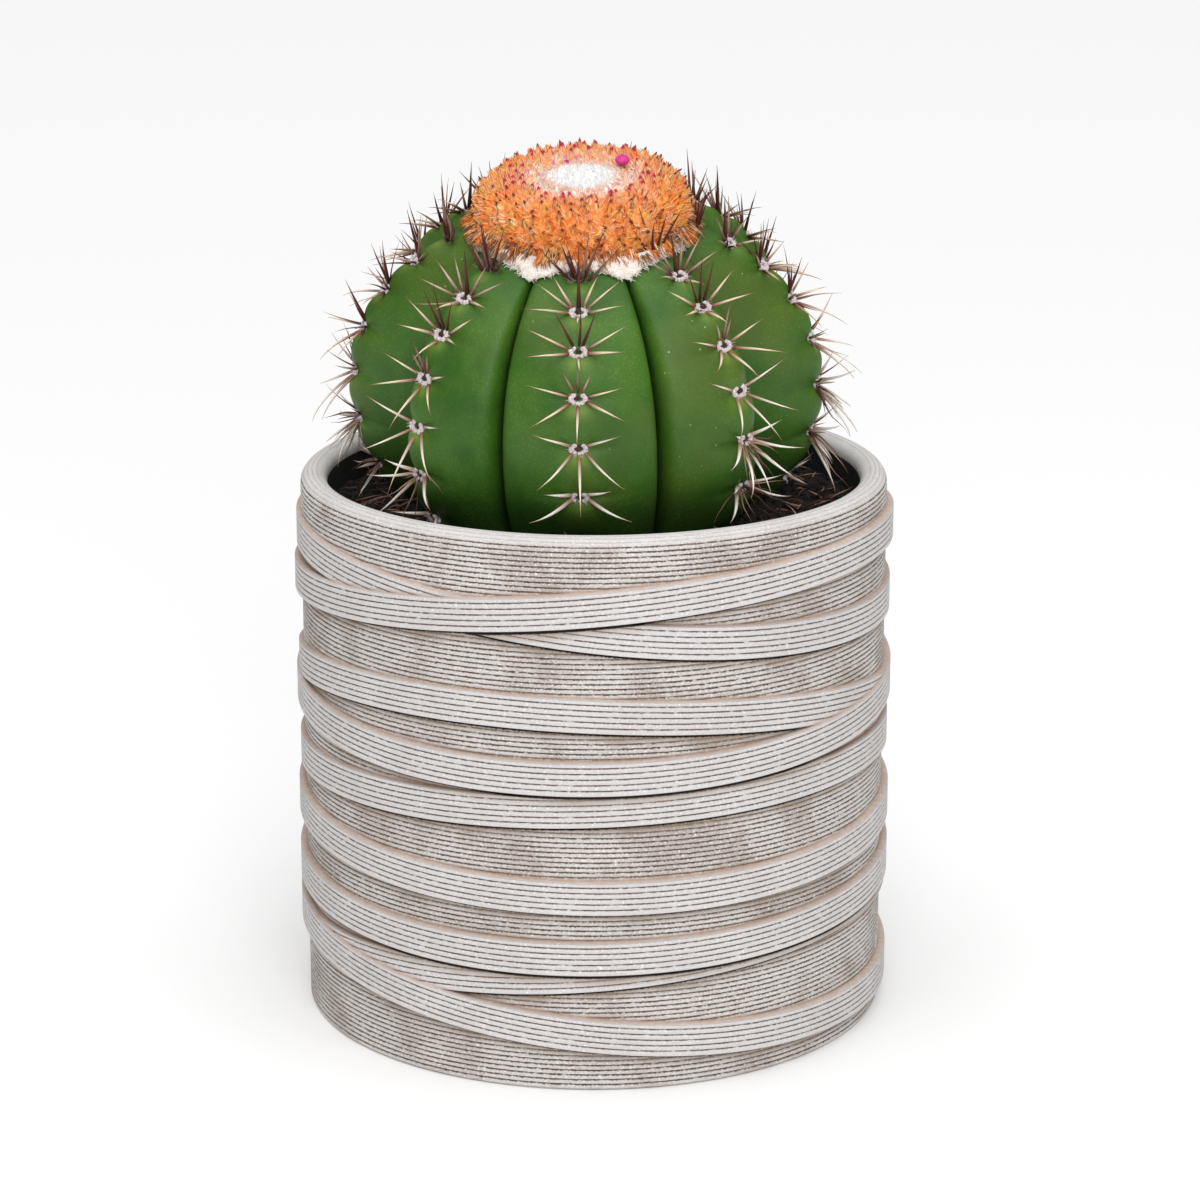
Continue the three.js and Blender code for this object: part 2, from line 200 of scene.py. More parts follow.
def makeStage():
    camera = bpy.data.objects.new("camera", bpy.data.cameras.new("camera"))
    camera.data.lens = view["lens"]
    camera.data.sensor_width = view["sensor"]
    camera.location = [value * mm for value in view["place"]]
    camera.rotation_euler = (math.radians(90 - view["pitch"]), 0, 0)
    bpy.context.scene.collection.objects.link(camera)
    bpy.context.scene.camera = camera
    front = newLight("front", "AREA", shape="DISK", size=light["size"] * mm, energy=light["power"])
    front.location = Vector(light["place"]) * mm
    towards = Vector(light["aim"]) - Vector(light["place"])
    front.rotation_euler = towards.to_track_quat("-Z", "Y").to_euler()
    above = newLight("above", "SUN", energy=light["above"], angle=math.radians(light["aboveSpread"]))
    above.rotation_euler = (math.radians(light["aboveTilt"]), 0, 0)
    world = bpy.data.worlds.new("studio")
    world.use_nodes = True
    background = world.node_tree.nodes["Background"]
    background.inputs["Color"].default_value = linear("#ffffff")
    background.inputs["Strength"].default_value = light["sky"]
    bpy.context.scene.world = world
    bpy.context.scene.view_settings.view_transform = "Standard"
    half = light["floorHalf"]
    corners = [(-half, -half, 0), (half, -half, 0), (half, half, 0), (-half, half, 0)]
    paper, _, _ = newMaterial("studioPaper", 0.9, Base_Color=linear("#f7f7f7"),
                              Emission_Color=linear("#ffffff"), Emission_Strength=light["floorGlow"])
    newPiece("floor", corners, [(0, 1, 2, 3)], material=paper, smooth=False)


def newMaterial(name, roughness, **sockets):
    # a Principled material; numbers that are the same all over stay on its sockets
    material = bpy.data.materials.new(name)
    material.use_nodes = True
    shader = material.node_tree.nodes["Principled BSDF"]
    shader.inputs["Roughness"].default_value = roughness
    for label, value in sockets.items():
        shader.inputs[label.replace("_", " ")].default_value = value
    return material, partial(add, material.node_tree), shader


makeStage()
print("camera, light and floor")


def millimetres(node):
    # the place on the part in millimetres, for patterns of a real size
    place = node("ShaderNodeTexCoord").outputs["Object"]
    return node("ShaderNodeVectorMath", {0: place, 1: (1 / mm,) * 3}, operation="MULTIPLY")


def dress(shader, colour, strength=0.0, depth=0.0, height=None):
    # the last colour goes to the shader, and relief of that depth in mm where there is a height
    tree = shader.id_data
    tree.links.new(live(colour), shader.inputs["Base Color"])
    if height is not None:
        bump = add(tree, "ShaderNodeBump", {"Strength": strength, "Distance": depth * mm, "Height": height})
        tree.links.new(bump.outputs["Normal"], shader.inputs["Normal"])


# Clay cast in a mould, then limewashed: chalky and matt, the brown body showing where the wash
# missed the grooves or ran off the ledges; under each band lies painted shadow, then brown painted shade
washedClayLook = {
    "ridge": "#e1dfdf", "ridgeWorn": "#cfcac8", "wallRidge": "#dad6d3", "wallWorn": "#c4bbb5",
    # the palest colour here paints highlights on small specks
    "groove": "#46352a", "grooveDusty": "#857161", "glintSpeck": "#f1f0ef", "pore": "#998676",
    # the brown of the painted shade below each band, then the near black of the painted shadow in the gap
    # under it and on its underside
    "ledge": "#bd9a7f", "underBandShade": "#a3907f", "shade": "#1f1712", "inner": "#2a2a2d",
    "lineHalf": (-0.02, 0.16),  # mm, half of a groove's width on a band, where faint and where deep
    "wallLineHalf": (0.03, 0.2),  # the same on the wall between the bands
    "lineEdge": 0.08,  # mm over which a groove's edge fades
    "ragged": 0.36, "wallRagged": 0.68,  # mm that the wash wanders over a groove's edge
    "dash": 1.7,  # mm, how far a groove runs before it changes
    "grain": 0.55,  # mm, sand grain in the clay
    "stipple": 0.5,  # mm, pores between the grooves; real ones are half of this and wouldn't show
    "patch": 16.0,  # mm, worn patches
    "bandPores": 0.08,  # share of the pores that the smooth bands keep
    "shadeLine": 0.85, "underBandShadeReach": 3.2, "ledgeReach": 0.5,  # mm from a band's edge
    "relief": 0.18,  # mm, depth of the grain and the wash
}


def makeWashedClay():
    look = washedClayLook
    material, node, shader = newMaterial("limewashedClay", 0.86, Specular_IOR_Level=0.3)
    place = millimetres(node)
    read = {key: node("ShaderNodeAttribute", attribute_name=key).outputs["Fac"]
            for key in ("lines", "pitch", "grooved", "coarse", "ledge", "shade", "inner", "below", "above")}
    split = node("ShaderNodeSeparateXYZ", {0: place}).outputs

    # coordinates that run along the grooves: slow round the pot, quick from line to line
    alongLine = node("ShaderNodeCombineXYZ", {
        0: node("ShaderNodeMath", {0: split["X"], 1: 1 / look["dash"]}, operation="MULTIPLY"),
        1: node("ShaderNodeMath", {0: split["Y"], 1: 1 / look["dash"]}, operation="MULTIPLY"),
        2: node("ShaderNodeMath", {0: read["lines"], 1: 1.7}, operation="MULTIPLY")})
    dashes = node("ShaderNodeTexNoise", {"Vector": alongLine, "Scale": 1.0, "Detail": 3.0}).outputs["Fac"]
    grain, stipple, patches = (
        node("ShaderNodeTexNoise", {"Vector": place, "Scale": 1 / look[key], "Detail": detail}).outputs["Fac"]
        for key, detail in (("grain", 2.0), ("stipple", 1.0), ("patch", 2.0)))
    worn = node("ShaderNodeMapRange", {"Value": patches, "From Min": 0.46, "From Max": 0.66})

    # distance from the nearest groove's centre, in mm, made ragged by the grain
    within = node("ShaderNodeMath", {0: read["lines"]}, operation="FRACT")
    centred = node("ShaderNodeMath", {0: within, 1: 0.5}, operation="SUBTRACT")
    away = node("ShaderNodeMath", {0: 0.5, 1: node("ShaderNodeMath", {0: centred}, operation="ABSOLUTE")},
                operation="SUBTRACT")
    distance = node("ShaderNodeMath", {0: away, 1: read["pitch"]}, operation="MULTIPLY")
    ragged = node("ShaderNodeMix", {"Factor": read["coarse"], "A": look["ragged"], "B": look["wallRagged"]})
    wander = node("ShaderNodeMath", {
        0: node("ShaderNodeMath", {0: grain, 1: 0.5}, operation="SUBTRACT"), 1: ragged}, operation="MULTIPLY")
    strength = node("ShaderNodeMapRange", {"Value": dashes, "From Min": 0.3, "From Max": 0.46})
    widths = [node("ShaderNodeMix", {"Factor": strength, "A": look[key][0], "B": look[key][1]})
              for key in ("lineHalf", "wallLineHalf")]
    width = node("ShaderNodeMix", {"Factor": read["coarse"], "A": widths[0], "B": widths[1]})
    edge = node("ShaderNodeMath", {0: distance, 1: wander}, operation="ADD")
    reach = node("ShaderNodeMath", {0: edge, 1: width}, operation="SUBTRACT")
    inLine = node("ShaderNodeMapRange", {"Value": reach, "From Min": look["lineEdge"],
                                         "From Max": -look["lineEdge"]})
    line = node("ShaderNodeMath", {0: inLine, 1: read["grooved"]}, operation="MULTIPLY")

    # pores between the grooves, few on the smooth bands and more in the wall's worn patches
    wallPores = node("ShaderNodeMapRange", {"Value": worn, "To Min": 0.12, "To Max": 0.34})
    poreShare = node("ShaderNodeMath", {0: read["coarse"], 1: wallPores}, operation="MULTIPLY")
    poreHere = node("ShaderNodeMapRange", {"Value": stipple, "From Min": 0.52, "From Max": 0.64})
    poreMost = node("ShaderNodeMath", {0: poreShare, 1: look["bandPores"]}, operation="ADD")
    pores = node("ShaderNodeMath", {0: poreHere, 1: poreMost}, operation="MULTIPLY")

    bandRidge, wallRidge, groove = (
        node("ShaderNodeMix", {"Factor": share, "A": linear(look[first]), "B": linear(look[second])},
             data_type="RGBA")
        for share, first, second in ((patches, "ridge", "ridgeWorn"), (worn, "wallRidge", "wallWorn"),
                                     (dashes, "grooveDusty", "groove")))
    # painted highlights: small bright specks where sand grains catch the light
    glintSpecks = node("ShaderNodeMapRange", {"Value": stipple, "From Min": 0.36, "From Max": 0.3})

    # what a band leaves beside its edges: a painted shadow in the gap below it and painted shade fading down
    # from it, a stained ledge above it
    below = node("ShaderNodeMath", {0: read["below"], 1: wander}, operation="ADD")
    underBandShadeHere = node("ShaderNodeMapRange", {
        "Value": below, "From Min": look["underBandShadeReach"], "From Max": look["shadeLine"]})
    underBandShadeShare = node("ShaderNodeMapRange", {
        "Value": patches, "From Min": 0.35, "From Max": 0.65, "To Min": 0.5, "To Max": 0.95})
    above = node("ShaderNodeMath", {0: read["above"], 1: wander}, operation="ADD")
    rimOfWall = node("ShaderNodeMapRange", {
        "Value": above, "From Min": look["ledgeReach"], "From Max": 0.0, "To Max": 0.5})
    stain = node("ShaderNodeMath", {0: rimOfWall, 1: read["ledge"]}, operation="MAXIMUM")
    stainShare = node("ShaderNodeMapRange", {
        "Value": dashes, "From Min": 0.3, "From Max": 0.6, "To Min": 0.55, "To Max": 0.95})
    gapShadowHere = node("ShaderNodeMapRange", {
        "Value": below, "From Min": look["shadeLine"] + 0.15, "From Max": look["shadeLine"] - 0.15})

    # from the ridges upwards, the share and the colour of each finish over the ones before it
    layers = (
        (read["coarse"], wallRidge), (glintSpecks, linear(look["glintSpeck"])), (pores, linear(look["pore"])),
        (line, groove),
        # painted shade below a band, brown and fading downwards
        (node("ShaderNodeMath", {0: underBandShadeHere, 1: underBandShadeShare}, operation="MULTIPLY"), linear(look["underBandShade"])),
        (node("ShaderNodeMath", {0: stain, 1: stainShare}, operation="MULTIPLY"), linear(look["ledge"])),
        # painted shadow in the gap under a band, and painted shade where the rows carry it
        (node("ShaderNodeMath", {0: gapShadowHere, 1: read["shade"]}, operation="MAXIMUM"), linear(look["shade"])),
        (read["inner"], linear(look["inner"])),
    )
    whole = bandRidge
    for share, tint in layers:
        whole = node("ShaderNodeMix", {"Factor": share, "A": whole, "B": tint}, data_type="RGBA")

    height = node("ShaderNodeMath", {0: grain, 1: 0.35}, operation="MULTIPLY")
    sunk = node("ShaderNodeMath", {0: line, 1: pores}, operation="MAXIMUM")
    dress(shader, whole, 0.6, look["relief"],
          node("ShaderNodeMath", {0: height, 1: sunk}, operation="SUBTRACT"))
    return material


# Living skin of a succulent: a thin wax bloom over green, so soft broad highlights
skinLook = {
    # the darkest green is painted shade, in the creases and down towards the soil
    "deep": "#2b5811", "fresh": "#45701b", "bulge": "#7f9c38", "furrow": "#1b3510",
    "tired": "#5e6a26", "stoma": "#6d9150", "scar": "#a5b48a",
    "mottle": 13.0, "drift": 32.5, "pore": 0.5, "scars": 3.4,  # mm
    "speckle": 0.8,  # mm between pale dots; the real pores are finer and wouldn't show
    # the second share here is the strength of the painted highlight on the swellings
    "tiredShare": 0.45, "bulgeShare": 0.9, "darkShare": 0.75,
    "relief": 0.12,  # mm
}


def makeSkin():
    look = skinLook
    material, node, shader = newMaterial("cactusSkin", 0.5, Specular_IOR_Level=0.35, Subsurface_Weight=0.05,
                                         Subsurface_Scale=1.5 * mm, Subsurface_Radius=(0.4, 1.0, 0.3))
    place = millimetres(node)
    read = {key: node("ShaderNodeAttribute", attribute_name=key).outputs["Fac"]
            for key in ("furrow", "bulge", "age")}
    mottle, drift, pores = (
        node("ShaderNodeTexNoise", {"Vector": place, "Scale": 1 / look[key], "Detail": detail}).outputs["Fac"]
        for key, detail in (("mottle", 4.0), ("drift", 2.0), ("pore", 2.0)))
    dots, scars = (
        node("ShaderNodeTexVoronoi", {"Vector": place, "Scale": 1 / look[key]}).outputs["Distance"]
        for key in ("speckle", "scars"))
    freshness = node("ShaderNodeMapRange", {"Value": mottle, "From Min": 0.3, "From Max": 0.7})
    driftHere = node("ShaderNodeMapRange", {"Value": drift, "From Min": 0.5, "From Max": 0.66})
    shares = {
        "tired": node("ShaderNodeMath", {0: driftHere, 1: look["tiredShare"]}, operation="MULTIPLY"),
        # painted highlight on the swellings by the areoles
        "bulge": node("ShaderNodeMath", {0: read["bulge"], 1: look["bulgeShare"]}, operation="MULTIPLY"),
        # painted shade deep in the creases
        "furrow": read["furrow"],
        # painted shade near the soil, in the crease colour
        "dark": node("ShaderNodeMath", {0: read["age"], 1: look["darkShare"]}, operation="MULTIPLY"),
        "stoma": node("ShaderNodeMath", {
            0: node("ShaderNodeMapRange", {"Value": dots, "From Min": 0.4, "From Max": 0.1}),
            1: node("ShaderNodeMapRange", {"Value": mottle, "From Min": 0.4, "From Max": 0.65, "To Min": 0.12,
                                           "To Max": 0.36})}, operation="MULTIPLY"),
        "scar": node("ShaderNodeMath", {
            0: node("ShaderNodeMapRange", {"Value": scars, "From Min": 0.09, "From Max": 0.04}),
            1: node("ShaderNodeMapRange", {"Value": drift, "From Min": 0.52, "From Max": 0.62})},
            operation="MULTIPLY"),
    }
    whole = node("ShaderNodeMix", {
        "Factor": freshness, "A": linear(look["deep"]), "B": linear(look["fresh"])}, data_type="RGBA")
    for key, share in shares.items():
        tint = linear(look["furrow" if key == "dark" else key])
        whole = node("ShaderNodeMix", {"Factor": share, "A": whole, "B": tint}, data_type="RGBA")
    dress(shader, whole, 0.35, look["relief"], pores)
    return material


def makeStrandMaterial(name, roughness, turnAt=(0.05, 0.4), tipAt=(0.72, 0.95), **sockets):
    # colour runs along each strand from its root tint through its middle tint to its tip tint
    material, node, shader = newMaterial(name, roughness, **sockets)
    along = node("ShaderNodeAttribute", attribute_name="along").outputs["Fac"]
    whole = node("ShaderNodeAttribute", attribute_name="rootTint").outputs["Color"]
    for key, (low, high) in (("middleTint", turnAt), ("tipTint", tipAt)):
        share = node("ShaderNodeMapRange", {"Value": along, "From Min": low, "From Max": high})
        tint = node("ShaderNodeAttribute", attribute_name=key).outputs["Color"]
        whole = node("ShaderNodeMix", {"Factor": share, "A": whole, "B": tint}, data_type="RGBA")
    dress(shader, whole)
    return material


def makeMottled(name, colours, size, roughness, depth, **sockets):
    # three colours mixed by a cloudy pattern of a real size in mm, with relief of that depth in mm
    material, node, shader = newMaterial(name, roughness, **sockets)
    place = millimetres(node)
    coarse = node("ShaderNodeTexNoise", {"Vector": place, "Scale": 1 / size, "Detail": 3.0}).outputs["Fac"]
    fine = node("ShaderNodeTexNoise", {"Vector": place, "Scale": 4 / size, "Detail": 2.0}).outputs["Fac"]
    first, second, third = (linear(code) for code in colours)
    cloudy = node("ShaderNodeMix", {
        "Factor": node("ShaderNodeMapRange", {"Value": coarse, "From Min": 0.35, "From Max": 0.65}),
        "A": first, "B": second}, data_type="RGBA")
    whole = node("ShaderNodeMix", {
        "Factor": node("ShaderNodeMapRange", {"Value": fine, "From Min": 0.5, "From Max": 0.7}),
        "A": cloudy, "B": third}, data_type="RGBA")
    dress(shader, whole, 0.8, depth, fine)
    return material


washedClay = makeWashedClay()
skin = makeSkin()
# Horny spines: dense and hardly glossy, brown at the root, straw along the middle
spineHorn = makeStrandMaterial("spineHorn", 0.5, turnAt=(0.1, 0.48), tipAt=(0.66, 0.95),
                               Specular_IOR_Level=0.25)
# Plant wool: dull, fine hairs that scatter light
woolHair = makeStrandMaterial("plantWoolHair", 0.95)
woolFelt = makeMottled("plantWoolFelt", ("#f2e6da", "#fbf8f4", "#d9c0b0"), 1.6, 0.95, 0.3)
crownFelt = makeMottled("crownWoolFelt", ("#ffffff", "#ffffff", "#fffaf0"), 1.2, 0.95, 0.1)
# Short grey felt of an areole: dull, with a pink cast where it thins over the skin
areoleFelt = makeMottled("areoleFelt", ("#d6c6cc", "#f4ecef", "#9a7c81"), 0.7, 0.9, 0.15)
# The corky middle of an areole, where a spine has been pushed out: dark and dull
areoleBark = makeMottled("areoleBark", ("#3a241c", "#553a2c", "#1f1410"), 0.8, 0.9, 0.2)
# Dense stiff bristles: dull orange horn, lighter where they fray
bristleHorn = makeStrandMaterial("bristleHorn", 0.6, turnAt=(0.1, 0.5), tipAt=(0.7, 0.92))
# Cotton that fills the cap between its bristles, seen only in the gaps
cottonFelt = makeMottled("bristleCotton", ("#ee8436", "#ffb670", "#c9641e"), 1.5, 0.95, 0.3)
# Petals still rolled in the bud: smooth, thin and a little glossy
petalSkin = makeMottled("petalSkin", ("#dd2490", "#f04dab", "#c0166f"), 0.9, 0.42, 0.05)
# Damp peat: nearly black crumbs with a few brown fibres
pottingSoil = makeMottled("pottingSoil", ("#060403", "#0d0806", "#1d130e"), 2.2, 0.95, 0.6)
print("materials")


def newTree(name, inputs):
    # a geometry tree with named inputs, the first of them its geometry
    tree = bpy.data.node_groups.new(name, "GeometryNodeTree")
    for label, kind in inputs:
        tree.interface.new_socket(label, in_out="INPUT", socket_type="NodeSocket" + kind)
    tree.interface.new_socket("Mesh", in_out="OUTPUT", socket_type="NodeSocketGeometry")
    node = partial(add, tree)
    return tree, node, node("NodeGroupInput").outputs


def closeTree(node, geometry, material):
    # smooth shading, then real geometry with its material
    soft = node("GeometryNodeSetShadeSmooth", {"Geometry": geometry, "Shade Smooth": True})
    single = node("GeometryNodeRealizeInstances", {"Geometry": soft})
    node("NodeGroupOutput", {0: node("GeometryNodeSetMaterial", {"Geometry": single, "Material": material})})


def waver(node, geometry, size, amount):
    # moves the points by a smooth noise of that size
    waves = node("ShaderNodeTexNoise", {
        "Vector": node("GeometryNodeInputPosition"),
        "Scale": node("ShaderNodeMath", {0: 1.0, 1: size}, operation="DIVIDE"), "Detail": 1.0})
    middle = (0.5, 0.5, 0.5)
    swing = node("ShaderNodeVectorMath", {0: waves.outputs["Color"], 1: middle}, operation="SUBTRACT")
    offset = node("ShaderNodeVectorMath", {0: swing, 1: amount}, operation="MULTIPLY")
    return node("GeometryNodeSetPosition", {"Geometry": geometry, "Offset": offset})


def makeStrandTree():
    # a tapering strand on every point, along its aim and bent by its bend
    tree, node, given = newTree("strands", (
        ("Feet", "Geometry"), ("Points", "Int"), ("Sides", "Int"), ("Taper", "Float"),
        ("Curl", "Float"), ("Curl Size", "Float"), ("Material", "Material")))
    read = {key: node("GeometryNodeInputNamedAttribute", {"Name": key}, data_type=kind).outputs["Attribute"]
            for key, kind in (("foot", "FLOAT_VECTOR"), ("aim", "FLOAT_VECTOR"), ("bend", "FLOAT_VECTOR"),
                              ("thickness", "FLOAT"), ("along", "FLOAT"))}
    feet = node("GeometryNodeStoreNamedAttribute", {
        "Geometry": given["Feet"], "Name": "foot", "Value": node("GeometryNodeInputPosition")},
        data_type="FLOAT_VECTOR", domain="POINT")
    line = node("GeometryNodeResampleCurve", {
        "Curve": node("GeometryNodeCurvePrimitiveLine"), "Count": given["Points"]})
    copies = node("GeometryNodeRealizeInstances", {
        "Geometry": node("GeometryNodeInstanceOnPoints", {"Points": feet, "Instance": line})})
    marked = node("GeometryNodeStoreNamedAttribute", {
        "Geometry": copies, "Name": "along", "Value": node("GeometryNodeSplineParameter").outputs["Factor"]},
        data_type="FLOAT", domain="POINT")
    straight = node("ShaderNodeVectorMath", {0: read["aim"], 1: read["along"], 2: read["foot"]},
                    operation="MULTIPLY_ADD")
    squared = node("ShaderNodeMath", {0: read["along"], 1: 2.0}, operation="POWER")
    bent = node("ShaderNodeVectorMath", {0: read["bend"], 1: squared, 2: straight}, operation="MULTIPLY_ADD")
    placed = node("GeometryNodeSetPosition", {"Geometry": marked, "Position": bent})
    reach = node("ShaderNodeMath", {0: read["along"], 1: given["Curl"]}, operation="MULTIPLY")
    curled = waver(node, placed, given["Curl Size"], reach)
    used = node("ShaderNodeMath", {0: read["along"], 1: given["Taper"]}, operation="POWER")
    narrowing = node("ShaderNodeMath", {0: 1.0, 1: used}, operation="SUBTRACT")
    slim = node("ShaderNodeMath", {0: narrowing, 1: 0.07}, operation="MAXIMUM")
    circle = node("GeometryNodeCurvePrimitiveCircle", {"Resolution": given["Sides"], "Radius": 1.0})
    skinned = node("GeometryNodeCurveToMesh", {
        "Curve": curled, "Profile Curve": circle,
        "Scale": node("ShaderNodeMath", {0: slim, 1: read["thickness"]}, operation="MULTIPLY"),
        "Fill Caps": True})
    closeTree(node, skinned, given["Material"])
    return tree


def makeBeadTree():
    # a lumpy bead on every point, of the size that the point gives
    tree, node, given = newTree("beads", (
        ("Places", "Geometry"), ("Segments", "Int"), ("Rings", "Int"), ("Lump", "Float"),
        ("Lump Size", "Float"), ("Flatness", "Float"), ("Seed", "Int"), ("Material", "Material")))
    size = node("GeometryNodeInputNamedAttribute", {"Name": "size"}, data_type="FLOAT").outputs["Attribute"]
    bead = node("GeometryNodeMeshUVSphere", {
        "Segments": given["Segments"], "Rings": given["Rings"], "Radius": 1.0}).outputs["Mesh"]
    low = node("ShaderNodeMath", {0: size, 1: given["Flatness"]}, operation="MULTIPLY")
    shape = node("ShaderNodeCombineXYZ", {0: size, 1: size, 2: low})
    turn = node("FunctionNodeRandomValue", {
        "Min": (0.0, 0.0, 0.0), "Max": (2 * math.pi,) * 3, "Seed": given["Seed"]}, data_type="FLOAT_VECTOR")
    copies = node("GeometryNodeRealizeInstances", {"Geometry": node("GeometryNodeInstanceOnPoints", {
        "Points": given["Places"], "Instance": bead, "Rotation": turn, "Scale": shape})})
    closeTree(node, waver(node, copies, given["Lump Size"], given["Lump"]), given["Material"])
    return tree


def makeTurningTree():
    # a profile carried round the pot's axis as a ring that may stand on a tilt
    tree, node, given = newTree("turning", (
        ("Profile", "Geometry"), ("Columns", "Int"), ("Tilt", "Float"), ("Peak", "Float"),
        ("Wander", "Float"), ("Wander Size", "Float"), ("Material", "Material")))
    read = {
        key: node("GeometryNodeInputNamedAttribute", {"Name": key}, data_type="FLOAT").outputs["Attribute"]
        for key in ("turn", "reach", "height", "sunk")}
    circle = node("GeometryNodeCurvePrimitiveCircle", {"Resolution": given["Columns"], "Radius": 1.0})
    turn = node("ShaderNodeMath", {0: node("GeometryNodeSplineParameter").outputs["Factor"], 1: 2 * math.pi},
                operation="MULTIPLY")
    ring = node("GeometryNodeStoreNamedAttribute", {"Geometry": circle, "Name": "turn", "Value": turn},
                data_type="FLOAT", domain="POINT")
    swept = node("GeometryNodeCurveToMesh", {
        "Curve": ring, "Profile Curve": node("GeometryNodeMeshToCurve", {"Mesh": given["Profile"]})})
    # hand-cut grooves wander a little in depth
    sine, cosine = (node("ShaderNodeMath", {0: read["turn"]}, operation=kind) for kind in ("SINE", "COSINE"))
    loop = node("ShaderNodeCombineXYZ", {
        0: sine, 1: cosine,
        2: node("ShaderNodeMath", {0: read["height"], 1: given["Wander Size"]}, operation="DIVIDE")})
    waves = node("ShaderNodeTexNoise", {"Vector": loop, "Scale": 9.0, "Detail": 2.0}).outputs["Fac"]
    share = node("ShaderNodeMath", {0: waves, 1: given["Wander"]}, operation="MULTIPLY")
    fill = node("ShaderNodeMath", {0: share, 1: read["sunk"]}, operation="MULTIPLY")
    wide = node("ShaderNodeMath", {0: read["reach"], 1: fill}, operation="ADD")
    lean = node("ShaderNodeMath", {
        0: node("ShaderNodeMath", {0: read["turn"], 1: given["Peak"]}, operation="SUBTRACT")},
        operation="COSINE")
    forward = node("ShaderNodeMath", {0: cosine, 1: wide}, operation="MULTIPLY")
    position = node("ShaderNodeCombineXYZ", {
        0: node("ShaderNodeMath", {0: sine, 1: wide}, operation="MULTIPLY"),
        1: node("ShaderNodeMath", {0: forward, 1: -1.0}, operation="MULTIPLY"),
        2: node("ShaderNodeMath", {0: lean, 1: given["Tilt"], 2: read["height"]}, operation="MULTIPLY_ADD")})
    placed = node("GeometryNodeSetPosition", {"Geometry": swept, "Position": position})
    welded = node("GeometryNodeMergeByDistance", {"Geometry": placed, "Distance": 0.001 * mm})
    closeTree(node, welded, given["Material"])
    return tree


strandTree = makeStrandTree()
beadTree = makeBeadTree()
turningTree = makeTurningTree()
print("node trees")


planter = {
    "height": 140.0, "wall": 74.4, "inner": 67.6, "floor": 8.0, "rounding": 3.2, "chamfer": 0.8,
    "columns": 160, "groovePitch": 1.25, "grooveShift": 0.4, "grooveDepth": 0.32, "grooveHalf": 0.24,
    "wander": 0.5, "wanderSize": 3.0,  # share of its depth by which a groove comes and goes, and over what mm
    "deepUntil": 1.8,  # mm of the rounded shoulder that the deep grooves still cover
    "faintShare": 0.3,  # depth of the rings on top of the rim, as a share
    "smoothLip": 3.0,  # mm at the inner edge without rings
    "coarseUntil": (137.4, 138.6),  # heights between which the rough wall turns into the smooth rim
    "footShade": 0.4,
    "innerRowsTo": 112.0,  # height down to which the inner wall has rows of points
}
band = {
    "height": 8.8, "ledge": 0.6, "root": 1.2, "over": 1.8, "under": 1.2, "pitch": 1.42, "lines": 5,
    "grooveDepth": 0.3, "grooveHalf": 0.24, "edge": 0.14, "undercut": 0.4, "columns": 200, "wander": 0.4,
    # mean height, tilt and where it is highest, in degrees right of the front, then how far it stands proud
    "rings": (
        (120.8, 7.1, 70, "over"), (117.8, 8.8, -98, "under"), (88.1, 9.2, -22, "under"),
        (86.7, -5.8, -8, "over"), (70.7, 3.4, 50, "under"), (55.0, -4.4, 8, "over"),
        (38.6, -3.6, -10, "over"), (29.7, 6.0, 80, "under"), (18.4, 8.6, -113, "over"),
    ),
}
# the corners of a groove: across it in halves of its width, and down it in shares of its depth
grooveCorners = ((-1, 0), (-0.3, 1), (0.3, 1), (1, 0))


def profileRow(radius, z, lines=0.5, grooved=0, ledge=0, shade=0, inner=0, sunk=0):
    # a point of a profile, with its count of grooves, the shares of each finish and the mm that it is sunk
    return radius, z, lines, grooved, ledge, shade, inner, sunk


def profilePiece(name, rows, closed, pitch, coarse):
    # the rows as an edge line with an attribute for each of their numbers
    rows = np.array(rows, float)
    keys = ("reach", "height", "lines", "grooved", "ledge", "shade", "inner", "sunk")
    values = {key: rows[:, i] * (mm if key in ("reach", "height", "sunk") else 1)
              for i, key in enumerate(keys)}
    values["pitch"] = np.full(len(rows), pitch)
    values["coarse"] = np.broadcast_to(coarse, len(rows))
    points = np.stack([rows[:, 0], np.zeros(len(rows)), rows[:, 1]], -1)
    edges = [(i, i + 1) for i in range(len(rows) - 1)] + ([(len(rows) - 1, 0)] if closed else [])
    return newPiece(name, points, [], values, edges)


def turnRound(profile, sizes, tilt=0.0, peak=0.0):
    return grow(profile, turningTree, {
        "Columns": sizes["columns"], "Tilt": tilt * mm, "Peak": math.radians(peak), "Wander": sizes["wander"],
        "Wander Size": planter["wanderSize"] * mm, "Material": washedClay})


def measureBands(piece, rings):
    # keeps, for each point, the mm below the band above it and above the band below it
    mesh = piece.data
    points = np.zeros(len(mesh.vertices) * 3)
    mesh.vertices.foreach_get("co", points)
    points = points.reshape(-1, 3) / mm
    angle = np.arctan2(points[:, 0], -points[:, 1])
    farOff = planter["height"]
    below, above = np.full(len(points), farOff), np.full(len(points), farOff)
    for middle, tilt, peak, _ in rings:
        centre = middle + tilt * np.cos(angle - math.radians(peak))
        under, over = centre - points[:, 2], points[:, 2] - centre
        below = np.where(under > 0, np.minimum(below, under - band["height"] / 2), below)
        above = np.where(over > 0, np.minimum(above, over - band["height"] / 2), above)
    for key, numbers in (("below", below), ("above", above)):
        mesh.attributes.new(key, "FLOAT", "POINT").data.foreach_set("value", numbers.astype(np.float32))


